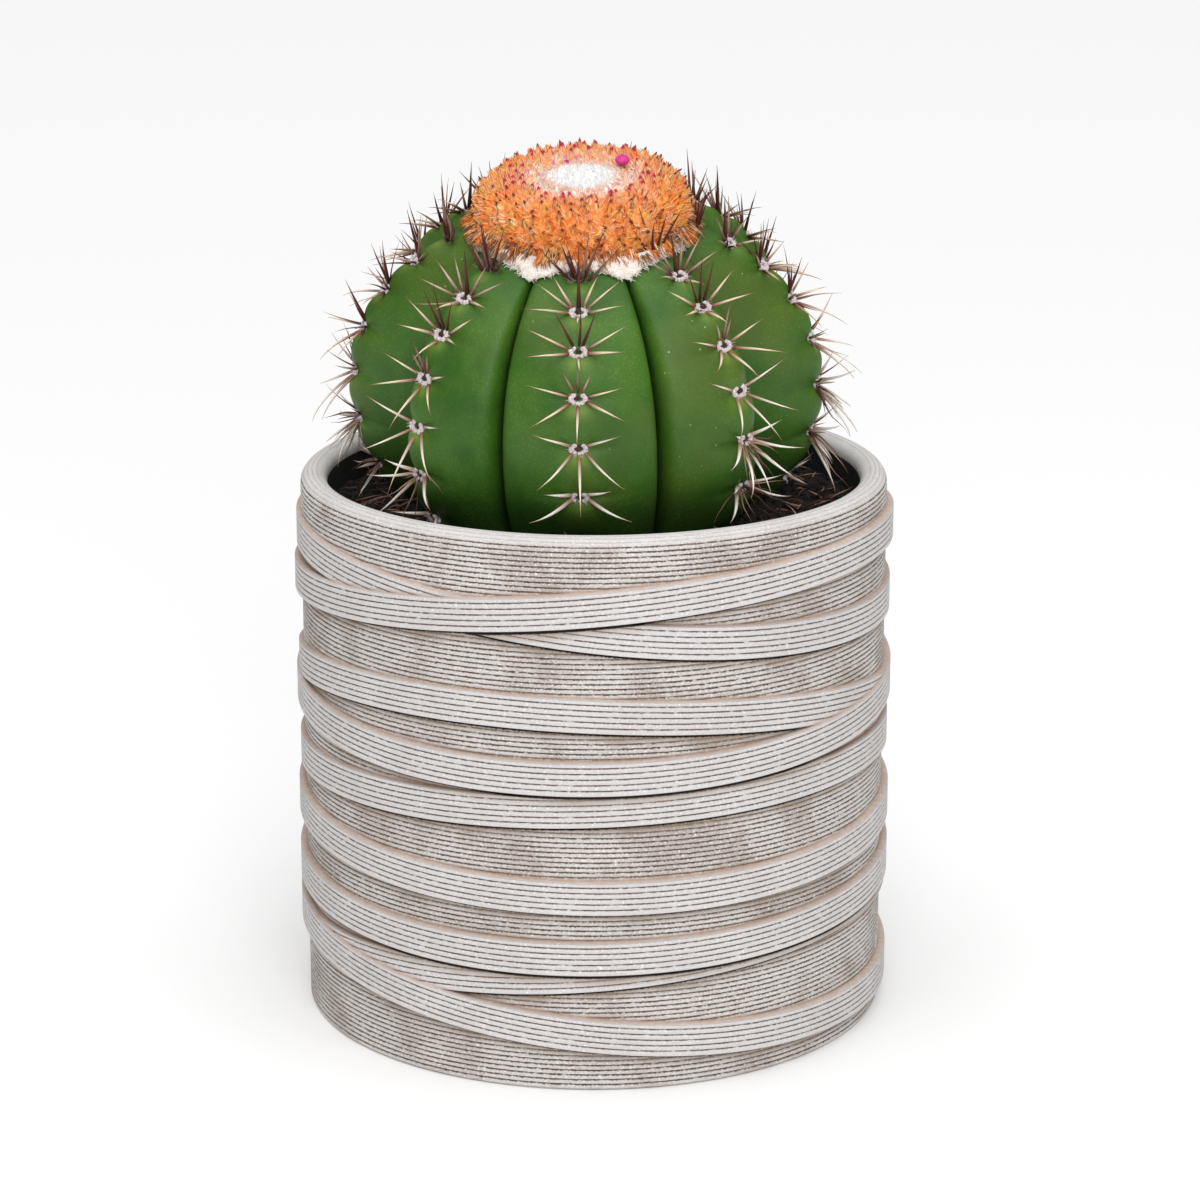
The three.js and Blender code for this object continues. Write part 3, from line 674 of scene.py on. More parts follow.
def makeCasting():
    p = planter
    edge = p["height"] - p["rounding"]
    straight = edge - p["chamfer"]
    quarter = p["rounding"] * math.pi / 2
    top = p["wall"] - p["inner"] - 2 * p["rounding"]
    end = straight + 2 * quarter + top

    def outlineAt(run):
        # the point and the outward normal at a length up the wall, over the rim and down inside
        if run <= straight:
            return (p["wall"], p["chamfer"] + run), (1, 0)
        if run <= straight + quarter:
            turn = (run - straight) / p["rounding"]
            centre = (p["wall"] - p["rounding"], edge)
        elif run <= straight + quarter + top:
            return (p["wall"] - p["rounding"] - (run - straight - quarter), p["height"]), (0, 1)
        else:
            turn = (run - straight - top) / p["rounding"]
            centre = (p["inner"] + p["rounding"], edge)
        normal = (math.cos(turn), math.sin(turn))
        return (centre[0] + p["rounding"] * normal[0], centre[1] + p["rounding"] * normal[1]), normal

    rows = [profileRow(0, 0, shade=p["footShade"]),
            profileRow(p["wall"] - p["chamfer"], 0, shade=p["footShade"]),
            profileRow(p["wall"], p["chamfer"])]
    fading = straight + p["deepUntil"]
    for i in range(1, int((end - p["smoothLip"]) / p["groovePitch"]) + 1):
        middle = i * p["groovePitch"] - p["grooveShift"]
        strength = max(float(1 - smoothstep(middle, fading - 1, fading + 1)), p["faintShare"])
        for offset, depth in grooveCorners:
            run = middle + offset * p["grooveHalf"]
            (radius, z), normal = outlineAt(run)
            sink = depth * p["grooveDepth"] * strength
            lines = (run + p["grooveShift"]) / p["groovePitch"]
            radius, z = radius - sink * normal[0], z - sink * normal[1]
            rows.append(profileRow(radius, z, lines, strength, sunk=sink))
    rows += [profileRow(*outlineAt(run)[0]) for run in np.linspace(middle + p["smoothLip"] / 4, end, 6)]
    for z in (edge - 0.3, *np.linspace(edge - 4, p["innerRowsTo"], 9), p["floor"]):
        rows.append(profileRow(p["inner"], float(z), inner=1))
    rows.append(profileRow(0, p["floor"], inner=1))
    coarse = 1 - smoothstep(np.array(rows)[:, 1], *p["coarseUntil"])
    casting = turnRound(profilePiece("planter_casting", rows, False, p["groovePitch"], coarse), p)
    measureBands(casting, band["rings"])
    return casting


def makeBands():
    b = band
    root = planter["wall"] - b["root"]
    shoulder = b["height"] - b["ledge"]
    made = []
    for number, (middle, tilt, peak, kind) in enumerate(b["rings"]):
        face = planter["wall"] + b[kind]
        low = middle - b["height"] / 2
        rows = [profileRow(root, low + b["undercut"], shade=1),
                profileRow(face - b["edge"], low, 0.4, shade=0.9),
                profileRow(face, low + b["edge"], grooved=1)]
        for i in range(1, b["lines"] + 1):
            for offset, depth in grooveCorners:
                z = i * b["pitch"] + offset * b["grooveHalf"]
                sink = depth * b["grooveDepth"]
                rows.append(profileRow(face - sink, low + z, z / b["pitch"], grooved=1, sunk=sink))
        rows += [profileRow(face, low + shoulder - b["edge"], shoulder / b["pitch"] - 0.2, grooved=1),
                 profileRow(face - b["edge"], low + shoulder, ledge=0.5),
                 profileRow(root, low + b["height"], ledge=1)]
        piece = turnRound(profilePiece(f"band{number}", rows, True, b["pitch"], 0), b, tilt, peak)
        measureBands(piece, [other for other in b["rings"] if kind == "under" and other[3] == "over"])
        made.append(piece)
    with bpy.context.temp_override(active_object=made[0], object=made[0], selected_editable_objects=made,
                                   selected_objects=made):
        bpy.ops.object.join()
    made[0].name = "planter_bands"
    return made[0]


settle(makeCasting(), "planter", "planter")
settle(makeBands(), "planter", "planter")


plant = {
    "collar": (-1.3, 9.5, 130.5), "leanForward": 12.0, "leanLeft": 1.0,
    "ribs": 9, "ribOffset": -1.5, "ribSpread": 5.0, "radius": 59.0, "equator": 33.0,
    "upper": 45.0, "lower": 48.0, "roundness": 2.2, "capRadius": 24.5,
    "furrowDepth": 0.22, "ribsFrom": 16.5, "ribsWhole": 38.5,
    # the three front ribs' swollen flanks, and the slim ones at more degrees from the front
    "swollenFlank": 0.27, "swollenCrease": 22,
    "slimDepth": 0.34, "deepFrom": 34, "deepWhole": 50,
    "slimFlank": 0.9, "slimCrease": 14, "slimRounding": 0.12, "slimFrom": 34, "slimWhole": 50,
    "firstAreoleRadius": 32.5, "areoles": 7, "spacing": 9.2, "spacingGrowth": 0.4,
    "phases": (0, 0.4, 0.55, 0.15, 0.7, 0.3, 0.6, 0.2, 0.1), "crestBump": 1.0, "crestWidth": 0.34,
    "soilLevel": 130.0, "soilMound": 1.5, "clearance": 1.2,
    # the darkening is painted shade from the pot around the plant
    "darkFrom": (151, 134),  # heights in the part between which the skin darkens towards the soil
}
plantTurn = np.array(Matrix.Rotation(math.radians(plant["leanForward"]), 3, "X")
                     @ Matrix.Rotation(-math.radians(plant["leanLeft"]), 3, "Y"))


def place(points):
    # from the plant's frame to the part's
    return np.asarray(points) @ plantTurn.T + np.array(plant["collar"])


def unplace(points):
    # from the part's frame to the plant's
    return (points - np.array(plant["collar"])) @ plantTurn


def turnVectors(vectors):
    return np.asarray(vectors) @ plantTurn.T


def crestHeight(radius):
    power = plant["roundness"]
    share = (1 - (np.asarray(radius) / plant["radius"]) ** power) ** (1 / power)
    return plant["equator"] + plant["upper"] * share


def makeCrestLine():
    # radius, height and length run, from the edge of the flat top down to the buried base
    turns = np.linspace(0, math.pi, 401)
    half = np.where(turns < math.pi / 2, plant["upper"], plant["lower"])

    def swell(value):
        return np.sign(value) * np.abs(value) ** (2 / plant["roundness"])

    radius = plant["radius"] * swell(np.sin(turns))
    z = plant["equator"] + half * swell(np.cos(turns))
    kept = z <= crestHeight(plant["capRadius"])
    radius, z = radius[kept], z[kept]
    steps = np.hypot(np.diff(radius), np.diff(z))
    return radius, z, np.concatenate([[0], np.cumsum(steps)])


crestRadii, crestHeights, crestLengths = makeCrestLine()
firstAreole = crestLengths[np.argmax(crestRadii > plant["firstAreoleRadius"])]


def crestAt(length):
    wanted = np.clip(length, 0, crestLengths[-1])
    return np.interp(wanted, crestLengths, crestRadii), np.interp(wanted, crestLengths, crestHeights)


def areoleLength(number):
    return firstAreole + plant["spacing"] * number + plant["spacingGrowth"] * number * np.abs(number)


def ribAngle(turns):
    even = 2 * math.pi * np.asarray(turns) / plant["ribs"]
    return even + math.radians(plant["ribOffset"]) + math.radians(plant["ribSpread"]) * np.sin(even)


def ribPhase(turns):
    rib = np.floor(turns).astype(int)
    phases = np.array(plant["phases"])
    here, following = phases[rib % plant["ribs"]], phases[(rib + 1) % plant["ribs"]]
    return here + (following - here) * smoothstep(turns - rib, 0.3, 0.7)


def furrowShare(across, radius, turns):
    # share of the radius that the furrows take, from 0 on a crest
    p = plant
    swollen = p["swollenFlank"] * across ** 2 + (1 - p["swollenFlank"]) * across ** p["swollenCrease"]

    def rounded(share):
        return np.hypot(share, p["slimRounding"]) - p["slimRounding"]

    slim = p["slimFlank"] * rounded(across) / rounded(1) + (1 - p["slimFlank"]) * across ** p["slimCrease"]
    fromFront = np.degrees(np.arccos(np.cos(ribAngle(turns))))
    slimming = smoothstep(fromFront, p["slimFrom"], p["slimWhole"])
    deeper = slimming * smoothstep(radius, p["deepFrom"], p["deepWhole"])
    depth = p["furrowDepth"] + (p["slimDepth"] - p["furrowDepth"]) * deeper
    return depth * (swollen + (slim - swollen) * slimming) * smoothstep(radius, p["ribsFrom"], p["ribsWhole"])


body = {
    "columnsPerRib": 40, "rowsPerAreole": 16, "baseRows": 14,
    "crowding": 1.6,  # draws the columns closer together in the furrows
    # painted shade in the creases: where it starts across a rib, and the radii over which it comes in
    "creaseFrom": 0.95, "creaseRadii": (20, 34),  # across a rib, and away from the cap
    "swellSkew": 0.85, "swellShape": 0.8,  # of the swelling from one areole to the next
    "bulgeAt": 0.2, "bulgeTall": 0.17, "bulgeWide": 0.14,  # painted highlight on the swelling by an areole, in shares
}


def makeBody():
    b = body
    steps = np.linspace(-1, 1, b["columnsPerRib"] + 1)[1:]
    steps = np.sign(steps) * (1 - (1 - np.abs(steps)) ** b["crowding"])
    turns = np.concatenate([rib + steps / 2 for rib in range(plant["ribs"])])
    across = np.tile(np.abs(steps), plant["ribs"])
    angle = ribAngle(turns)
    phase = ribPhase(turns)
    lowest = plant["areoles"] + 0.5
    rings, furrows, bulges, soilShades = [], [], [], []

    def addRing(radius, z, swelling=0.0, bulge=0.0):
        reach = radius * (1 - furrowShare(across, radius, turns)) + swelling
        rings.append(around(reach, angle, z + 0 * angle))
        # painted shade deep in each crease between the ribs
        depth = smoothstep(across, b["creaseFrom"], 1.0) * smoothstep(radius, *b["creaseRadii"])
        furrows.append(np.broadcast_to(depth, angle.shape))
        bulges.append(np.broadcast_to(bulge, angle.shape))
        # painted shade towards the soil, by height in the part
        soilShades.append(smoothstep(place(rings[-1])[:, 2], *plant["darkFrom"]))

    for share in np.linspace(0.97, 0.03, b["baseRows"]):
        radius, z = crestAt(areoleLength(lowest) + (crestLengths[-1] - areoleLength(lowest)) * share)
        addRing(radius + 0 * angle, z + 0 * angle)
    crest = np.exp(-(across / plant["crestWidth"]) ** 2)
    middle = np.exp(-(across / b["bulgeWide"]) ** 2)
    for i in range(int(round((lowest + 1) * b["rowsPerAreole"]))):
        number = lowest - i / b["rowsPerAreole"]
        fade = float(smoothstep(number, -1, 0.5))
        radius, z = crestAt(areoleLength(number + fade * phase))
        share = (number % 1.0) ** b["swellSkew"]
        swell = abs(math.sin(math.pi * share)) ** b["swellShape"]
        # painted highlight on each swelling by an areole
        bulge = fade * swell * math.exp(-((share - b["bulgeAt"]) / b["bulgeTall"]) ** 2) * middle
        addRing(radius, z, fade * plant["crestBump"] * (2 * swell - 1) * crest, bulge)
    top = float(crestHeight(plant["capRadius"]))
    for radius in (plant["capRadius"], plant["capRadius"] / 2):
        addRing(radius + 0 * angle, top + 0 * angle)
    points, faces = closedRings(rings, (0, 0, plant["equator"] - plant["lower"]), (0, 0, top))
    values = {key: np.concatenate([[numbers[0][0]], *numbers, [numbers[-1][0]]])
              for key, numbers in (("furrow", furrows), ("bulge", bulges), ("age", soilShades))}
    return newPiece("cactus_body", place(points), faces, values, material=skin)


settle(makeBody(), "cactus", "cactus")


class Strands:
    # gathers strands in the plant's frame before a node tree gives them their skin
    def __init__(self):
        self.rows = []

    def grow(self, foot, aim, bend, thickness, root, middle, tip):
        self.rows.append((foot, aim, bend, thickness, root, middle, tip))

    def build(self, name, points, sides, taper, material, curl=0.0, curlSize=1.0):
        feet, aims, bends, thickness, roots, middles, tips = (np.array(column) for column in zip(*self.rows))
        values = {
            "aim": turnVectors(aims) * mm, "bend": turnVectors(bends) * mm, "thickness": thickness * mm,
            "rootTint": roots, "middleTint": middles, "tipTint": tips,
        }
        base = newPiece(name, place(feet), [], values)
        return grow(base, strandTree, {
            "Points": points, "Sides": sides, "Taper": taper, "Curl": curl * mm,
            "Curl Size": curlSize * mm, "Material": material})


spine = {
    "thickness": 0.42, "scatter": 0.1, "wide": 1.75, "tall": 1.2, "raised": 0.45, "seed": 7,
    "lumps": 9, "hollows": 4, "padHairs": 24,  # felt round an areole, its brown middle, and hairs
    "opening": 38,  # degrees on either side of straight up without felt
    # tints of the root, the middle and the tip, on the darkest, the palest and the lowest palest spines
    "dark": ("#351410", "#5f2b22", "#2a110e"),
    "light": ("#7c3f28", "#f3dcc0", "#9c6448"),
    "oldest": ("#a9896e", "#fbf3ea", "#b08a72"),
    "padHair": ("#d0c2c5", "#efe7ea", "#ffffff"),
    "tuftLength": 13.5, "tuftThickness": 0.5, "tuftSpines": 9, "tuftHairs": 110, "fan": 46, "hairFan": 62,
    "tuftHair": ("#46302d", "#b9a4a0", "#4a302d"),  # darkest, palest and tip
    "wiry": 4,  # thin wandering spines that an areole of a side rib has besides
    # spines of the areoles from the top down, each row on both sides: degrees from straight up, degrees
    # off the rib, length, bend towards the body, rise of the tip and tone; the dark upper spines give way
    # to pale lower ones
    "rows": (
        ((0, 58, 13, 0.5, 0, -0.9), (34, 40, 11, 1, 0, 0.45), (62, 25, 12.5, 1.2, 0, 0.5),
         (95, 27, 12, 2, 0, 0.55), (180, 42, 9, 3, 0, 0.6)),
        ((0, 55, 13, 0.5, 0, -0.75), (27, 44, 11, 1.2, 0, -0.5), (64, 25, 12.5, 1.2, 0, 0.5),
         (105, 27, 11.5, 2, 0.3, 0.55), (180, 42, 10, 3.5, 0, 0.6)),
        ((0, 50, 12, 0.8, 0, -0.25), (24, 42, 8, 1.5, 0, -0.15), (73, 25, 11, 1.2, 0, 0.5),
         (118, 30, 13.5, 3, 0.5, 0.55), (180, 38, 14, 4.5, 0, 0.6)),
        ((64, 27, 13, 1.5, 0.3, 0.5), (130, 34, 15, 5, 1.8, 0.55), (180, 36, 17, 6, 0, 0.6)),
        ((60, 30, 9, 2, 0, 0.5), (102, 34, 13.5, 4.5, 1.8, 0.55), (144, 38, 16.5, 7, 2.4, 0.6),
         (180, 38, 16, 6, 0, 0.6)),
    ),
    "oldFrom": 5,  # areoles from the top until old curled spines hang on
    "oldSide": 0.85,  # cosine of the angle from the front past which they do
    "oldSpines": 12, "oldLength": 13.0, "fallen": 260,
    "old": ("#8a5a49", "#c29b86", "#946755"), "oldDark": ("#4a2f28", "#54372e", "#3d2620"),
    "fallenDark": ("#2d1a15", "#3b241d", "#2d1a15"),
}


def spineRows(n, wiry, draw):
    # the rows of the areole of that number from the top and how stout each spine is, then wiry ones
    rows = []
    for phi, *others in spine["rows"][min(n, len(spine["rows"])) - 1]:
        stout = 1.3 if others[4] < -0.8 or n > 4 else 1
        rows += [(side * phi, *others, stout) for side in ((1, -1) if 0 < phi < 180 else (1,))]
    spans = ((-165, 165), (10, 55), (7, 13.5), (-2, 4), (-2, 2), (-0.6, 0.3))
    for i in range(wiry):
        rows.append((*(draw.uniform(*span) for span in spans), 0.6))
    return rows


def areoleFrame(rib, number):
    # an areole's foot, the way up its rib, the way round the plant and the way out
    length = areoleLength(number + plant["phases"][rib])
    radius, z = crestAt(length)
    upRadius, upZ = crestAt(length - 1)
    angle = float(ribAngle(rib))
    foot = around(radius - plant["crestBump"], angle, z)
    up = around(upRadius - radius, angle, upZ - z)
    up = up / np.linalg.norm(up)
    along = around(1, angle + math.pi / 2, 0)
    return foot, up, along, np.cross(along, up)


def isClear(point, overSoil=plant["clearance"]):
    x, y, z = place(point)
    clear = plant["clearance"]
    insideWall = math.hypot(x, y) < planter["inner"] - clear or z > planter["height"] + clear
    return z > plant["soilLevel"] + plant["soilMound"] + overSoil and insideWall


def towards(first, second, turn):
    # the first direction turned to the second by that angle
    return first * math.cos(turn) + second * math.sin(turn)


def tintsBetween(first, second, share):
    return [blend(linear(a), linear(b), share) for a, b in zip(first, second)]


def spineTints(tone, age=0):
    light = tintsBetween(spine["light"], spine["oldest"], age)
    return [blend(linear(dark), pale, min(1, max(0, tone))) for dark, pale in zip(spine["dark"], light)]


def insideBox(foot, aim, bow):
    # shortens a strand until its tip is inside the part's box
    low, high = (np.array(corner) / mm for corner in cadBounds)
    while np.any(place(foot + aim + bow) < low + 0.6) or np.any(place(foot + aim + bow) > high - 0.6):
        aim = aim * 0.95
    return aim


def areoleTuft(strands, hairs, draw, foot, up, along, out):
    # the upright dark spines and grey wool that the youngest areoles hold against the cap
    upright = np.array((0.0, 0.0, 1.0))
    outward = np.cross(along, upright)
    count = spine["tuftSpines"]
    for i in range(count):
        phi = math.radians(spine["fan"] * ((i + 0.5) / count * 2 - 1 + 0.2 * draw.uniform(-1, 1)))
        lean = math.radians(draw.uniform(-9, 20))
        aim = towards(towards(upright, outward, lean), along, phi)
        aim = aim * spine["tuftLength"] * draw.uniform(0.68, 1.12)
        start = foot + along * (1.4 * math.sin(phi) + draw.uniform(-0.5, 0.5)) + up * draw.uniform(-0.8, 0.8)
        bow = outward * draw.uniform(-0.4, 1.0) - along * math.sin(phi)
        strands.grow(start - out * 0.8, insideBox(start, aim, bow), bow,
                     spine["tuftThickness"] * draw.uniform(0.8, 1.2), *spineTints(draw.uniform(-0.2, 0.3)))
    darkest, palest, tip = (linear(code) for code in spine["tuftHair"])
    for i in range(spine["tuftHairs"]):
        phi = math.radians(spine["hairFan"] * draw.uniform(-1, 1))
        lean = math.radians(draw.uniform(-12, 45))
        aim = towards(towards(upright, outward, lean), along, phi)
        start = foot + along * draw.uniform(-2.2, 2.2) + up * draw.uniform(-0.5, 1.8)
        grey = blend(darkest, palest, draw.random() ** 1.8)
        hairs.grow(start - out * 0.8, aim * draw.uniform(1.5, 5.5), out * draw.uniform(-1, 1), 0.12,
                   grey, grey, tip)


def areoleSpines(strands, hairs, places, draw, n, foot, up, along, out):
    # spines round a woolly pad that is open at the top, with a brown hollow in its middle
    foot = foot + out * spine["raised"]
    aside = float(smoothstep(-out[1], 0.6, 0.2))  # the side ribs keep dark upper spines further down
    if not isClear(foot + out):
        return

    def onPad(phi, share):
        return foot + (up * math.cos(phi) * spine["tall"] + along * math.sin(phi) * spine["wide"]) * share

    for phi, lift, length, bend, rise, shift, stout in spineRows(n, round(spine["wiry"] * aside), draw):
        phi = math.radians(phi + 6 * draw.uniform(-1, 1))
        lift = math.radians(lift + 7 * draw.uniform(-1, 1))
        reach = towards(towards(up, along, phi), out, lift) * length
        reach = reach * (1 + spine["scatter"] * draw.uniform(-1, 1))
        start = onPad(phi, 0.85)
        bow = -out * bend * (1 + 0.3 * draw.uniform(-1, 1)) + along * draw.uniform(-0.7, 0.7) + up * rise
        if not isClear(start + reach):
            continue
        tone = 0.35 + 0.06 * n + shift + 0.15 * draw.uniform(-1, 1)
        tone -= aside * (0.55 if math.cos(phi) > -0.2 else 0.2)
        strands.grow(start - out * 0.6, insideBox(start, reach - bow, bow), bow,
                     spine["thickness"] * stout * (1 + 0.15 * draw.uniform(-1, 1)),
                     *spineTints(tone, min(1, max(0, (n - 3) / 2))))
    opening, closed = spine["opening"], 360 - 2 * spine["opening"]
    for i in range(spine["lumps"]):
        phi = math.radians(opening + closed * i / (spine["lumps"] - 1)) + 0.12 * draw.uniform(-1, 1)
        places["pad"].append((onPad(phi, 1.0) - out * draw.uniform(0.0, 0.25), draw.uniform(0.66, 0.84)))
    for i in range(spine["hollows"]):
        spot = foot + up * draw.uniform(-0.2, 1.0) + along * draw.uniform(-0.5, 0.5)
        places["hollow"].append((spot - out * draw.uniform(0.35, 0.6), draw.uniform(0.65, 0.85)))
    for i in range(spine["padHairs"]):
        phi = math.radians(opening) + draw.random() * math.radians(closed)
        flat = towards(up, along, phi)
        aim = out * draw.uniform(0.7, 1.4) + flat * draw.uniform(0.1, 0.9)
        hairs.grow(onPad(phi, draw.uniform(0.75, 1.2)), aim, flat * draw.uniform(-0.4, 0.6), 0.08,
                   *(linear(code) for code in spine["padHair"]))


def oldSpines(old, draw, foot, up, along, out):
    # dry curled spines that the lowest areoles hold over the soil
    for i in range(spine["oldSpines"]):
        phi = math.radians(180 + 110 * draw.uniform(-1, 1))
        lift = math.radians(draw.uniform(10, 60))
        aim = towards(towards(up, along, phi), out, lift) * spine["oldLength"] * draw.uniform(0.5, 1.15)
        bow = np.array((draw.uniform(-3, 3), draw.uniform(-3, 3), draw.uniform(-4, 1)))
        spots = [foot + out, *(foot + aim * t + bow * t * t for t in (0.5, 1))]
        if all(isClear(spot, 0) for spot in spots):
            tone = draw.random() ** 1.3
            old.grow(foot - out * 0.6, aim, bow, 0.3 * draw.uniform(0.75, 1.2),
                     *tintsBetween(spine["oldDark"], spine["old"], tone))


def fallenSpines(old, draw):
    # brown tangles that lie on the soil round the plant
    ground = plant["soilLevel"] + plant["soilMound"] - 0.3
    for i in range(spine["fallen"]):
        angle = draw.uniform(0, 2 * math.pi)
        clump = float(ripple(angle, 0, 91, 4))
        radius = draw.uniform(50, 63)
        foot = around(radius, angle, ground + draw.random() * (1.5 + clump))
        heading = draw.uniform(0, 2 * math.pi)
        end = foot + around(draw.uniform(3, 9), heading, draw.uniform(0.5, 4.5 + 1.5 * clump))
        if math.hypot(end[0], end[1]) > planter["inner"] - plant["clearance"]:
            continue
        bow = around(draw.uniform(0, 3), heading + 1.6, -draw.uniform(0, 3))
        tone = draw.random() ** 2
        foot, end = unplace(foot), unplace(end)
        old.grow(foot, end - foot, bow @ plantTurn, draw.uniform(0.2, 0.36),
                 *tintsBetween(spine["fallenDark"], spine["old"], tone))


def makeSpines():
    draw = random.Random(spine["seed"])
    strands, hairs, old, places = Strands(), Strands(), Strands(), {"pad": [], "hollow": []}
    for rib in range(plant["ribs"]):
        first = -1 if plant["phases"][rib] > 0.35 else 0
        areoleTuft(strands, hairs, draw, *areoleFrame(rib, first))
        for number in range(first + 1, plant["areoles"] + 1):
            areoleSpines(strands, hairs, places, draw, number - first, *areoleFrame(rib, number))
            if number - first >= spine["oldFrom"] and math.cos(ribAngle(rib)) < spine["oldSide"]:
                oldSpines(old, draw, *areoleFrame(rib, number))
    fallenSpines(old, draw)
    made = [strands.build("spines", 9, 6, 1.3, spineHorn, curl=0.4, curlSize=6),
            old.build("old_spines", 10, 5, 1.6, spineHorn, curl=4.0, curlSize=9),
            hairs.build("areole_hairs", 4, 3, 2.0, woolHair, curl=0.8, curlSize=1.5)]
    for name, key, felt in (("areole_wool", "pad", areoleFelt), ("areole_hollows", "hollow", areoleBark)):
        spots, sizes = zip(*places[key])
        pads = newPiece(name, place(np.array(spots)), [], {"size": np.array(sizes) * mm})
        made.append(grow(pads, beadTree, {
            "Segments": 8, "Rings": 5, "Lump": 0.3 * mm, "Lump Size": 0.8 * mm, "Flatness": 0.85, "Seed": 3,
            "Material": felt}))
    return made


for made in makeSpines():
    settle(made, "cactus", "cactus")


cap = {
    # radius and height of the tufts' tips, from the seat on the shoulder up and over to the crown
    "outline": ((23.0, 73.6), (26.4, 75.0), (27.7, 77.4), (27.3, 80.8), (25.6, 84.2), (22.2, 86.9),
                (18.0, 88.3), (14.4, 88.1), (11.4, 87.2), (9.2, 86.9)),
    "crownRadius": 10.6, "crownFloor": 84.8, "gap": 0.3, "columns": 180, "lump": 0.3,
    "sunk": 1.6,  # mm that the cottony core lies below the tips
    "spacing": 2.8, "bristles": 18, "length": 2.0, "seed": 19,
    "umberShare": 0.1,  # of the bristles
    "tipShare": (0.34, 0.62),  # of the tufts that end in a dark tip, low on the cap and by the crown
    "petalShare": 0.975, "petalAngle": -158, "petals": 12,  # where withered petals show by the crown
    "fluff": 3600, "fringe": 150, "fringeHairs": 16, "fringeReach": 30.1,
    "colours": {
        "orange": "#ff9430", "deepOrange": "#fb7a10", "amber": "#ffc060", "cotton": "#ffe9c6",
        "white": "#fffcf6", "rose": "#ffac8c", "blush": "#ffd8c4", "crimson": "#c01a45",
        "magenta": "#d4268a", "maroon": "#6b1a1c", "umber": "#6a3a1c",
    },
}
hues = {name: linear(code) for name, code in cap["colours"].items()}


def smoothLine(points, perSpan):
    # a curve through the points, with perSpan steps from one to the next
    points = np.array(points, float)
    padded = np.vstack([2 * points[0] - points[1], points, 2 * points[-1] - points[-2]])
    line = []
    for i in range(1, len(padded) - 2):
        a, b, c, d = padded[i - 1:i + 3]
        for t in np.arange(perSpan) / perSpan:
            line.append(0.5 * ((2 * b) + (c - a) * t + (2 * a - 5 * b + 4 * c - d) * t ** 2
                               + (3 * b - a - 3 * c + d) * t ** 3))
    return np.array(line + [points[-1]])


def capLine(sunk):
    # the cap's outline as a curve, a number of mm below the tips
    line = smoothLine(cap["outline"], 8)
    steps = np.gradient(line, axis=0)
    normals = np.stack([steps[:, 1], -steps[:, 0]], -1) / np.linalg.norm(steps, axis=1)[:, None]
    return line - normals * sunk


def makeCapCore():
    line = capLine(cap["sunk"])
    angle = ringAngles(cap["columns"])
    seat = float(crestHeight(plant["capRadius"])) + cap["gap"]
    rings = [around(line[0, 0], angle, seat)]
    for radius, z in line[4:]:
        if radius < cap["crownRadius"]:
            break
        wide = cap["lump"] * ripple(angle, z, 5) * (radius > 13)
        high = cap["lump"] * ripple(angle, radius, 6) * (z > 80)
        rings.append(around(radius + wide, angle, max(z, seat) + high))
    rings.append(around(cap["crownRadius"] - 0.2, angle, cap["crownFloor"]))
    points, faces = closedRings(rings, (0, 0, seat), (0, 0, cap["crownFloor"]))
    return newPiece("cap_core", place(points), faces, material=cottonFelt)


class CapSurface:
    # places on the cap by the share of its area that lies below them
    def __init__(self):
        self.line = capLine(cap["sunk"])[6:]
        steps = np.linalg.norm(np.diff(self.line, axis=0), axis=1)
        strips = (self.line[1:, 0] + self.line[:-1, 0]) * math.pi * steps
        self.area = np.concatenate([[0], np.cumsum(strips)])
        self.total = self.area[-1]

    def at(self, share, angle):
        # the place, the way out, the way round and the radius
        wanted = share * self.total
        reach = 0.004 * self.total
        spots = [wanted, wanted - reach, wanted + reach]
        radius, lower, upper = np.interp(spots, self.area, self.line[:, 0])
        z, lowerZ, upperZ = np.interp(spots, self.area, self.line[:, 1])
        run = max(math.hypot(upper - lower, upperZ - lowerZ), 1e-6)
        out = around((upperZ - lowerZ) / run, angle, (lower - upper) / run)
        return around(radius, angle, z), out, around(1, angle + math.pi / 2, 0), float(radius)


def capTints(draw, share, radius):
    # root, middle and tip tints: orange with maroon tips, rosy with crimson tips near the white crown
    rosy = float(smoothstep(radius, 22, 17.5)) * draw.uniform(0.4, 1)
    pale = float(smoothstep(radius, 17.5, 12))
    brown = float(smoothstep(share, 0.08, 0.0)) * draw.uniform(0, 0.8)
    middle = blend(hues["orange"], hues[draw.choice(("deepOrange", "amber"))], draw.random())
    middle = blend(middle, hues["rose"], rosy * 0.8)
    middle = blend(middle, hues[draw.choice(("white", "blush"))], pale * draw.uniform(0.6, 1))
    middle = blend(middle, hues["umber"], brown)
    root = blend(hues["cotton"], hues["amber"], draw.random() * (1 - pale))
    tip = blend(hues["maroon"], hues["crimson"], min(1, 1.6 * rosy))
    if pale > 0.5:
        tip = blend(hues[draw.choice(("rose", "magenta", "amber"))], hues["white"], 0.3)
    return root, middle, tip, pale


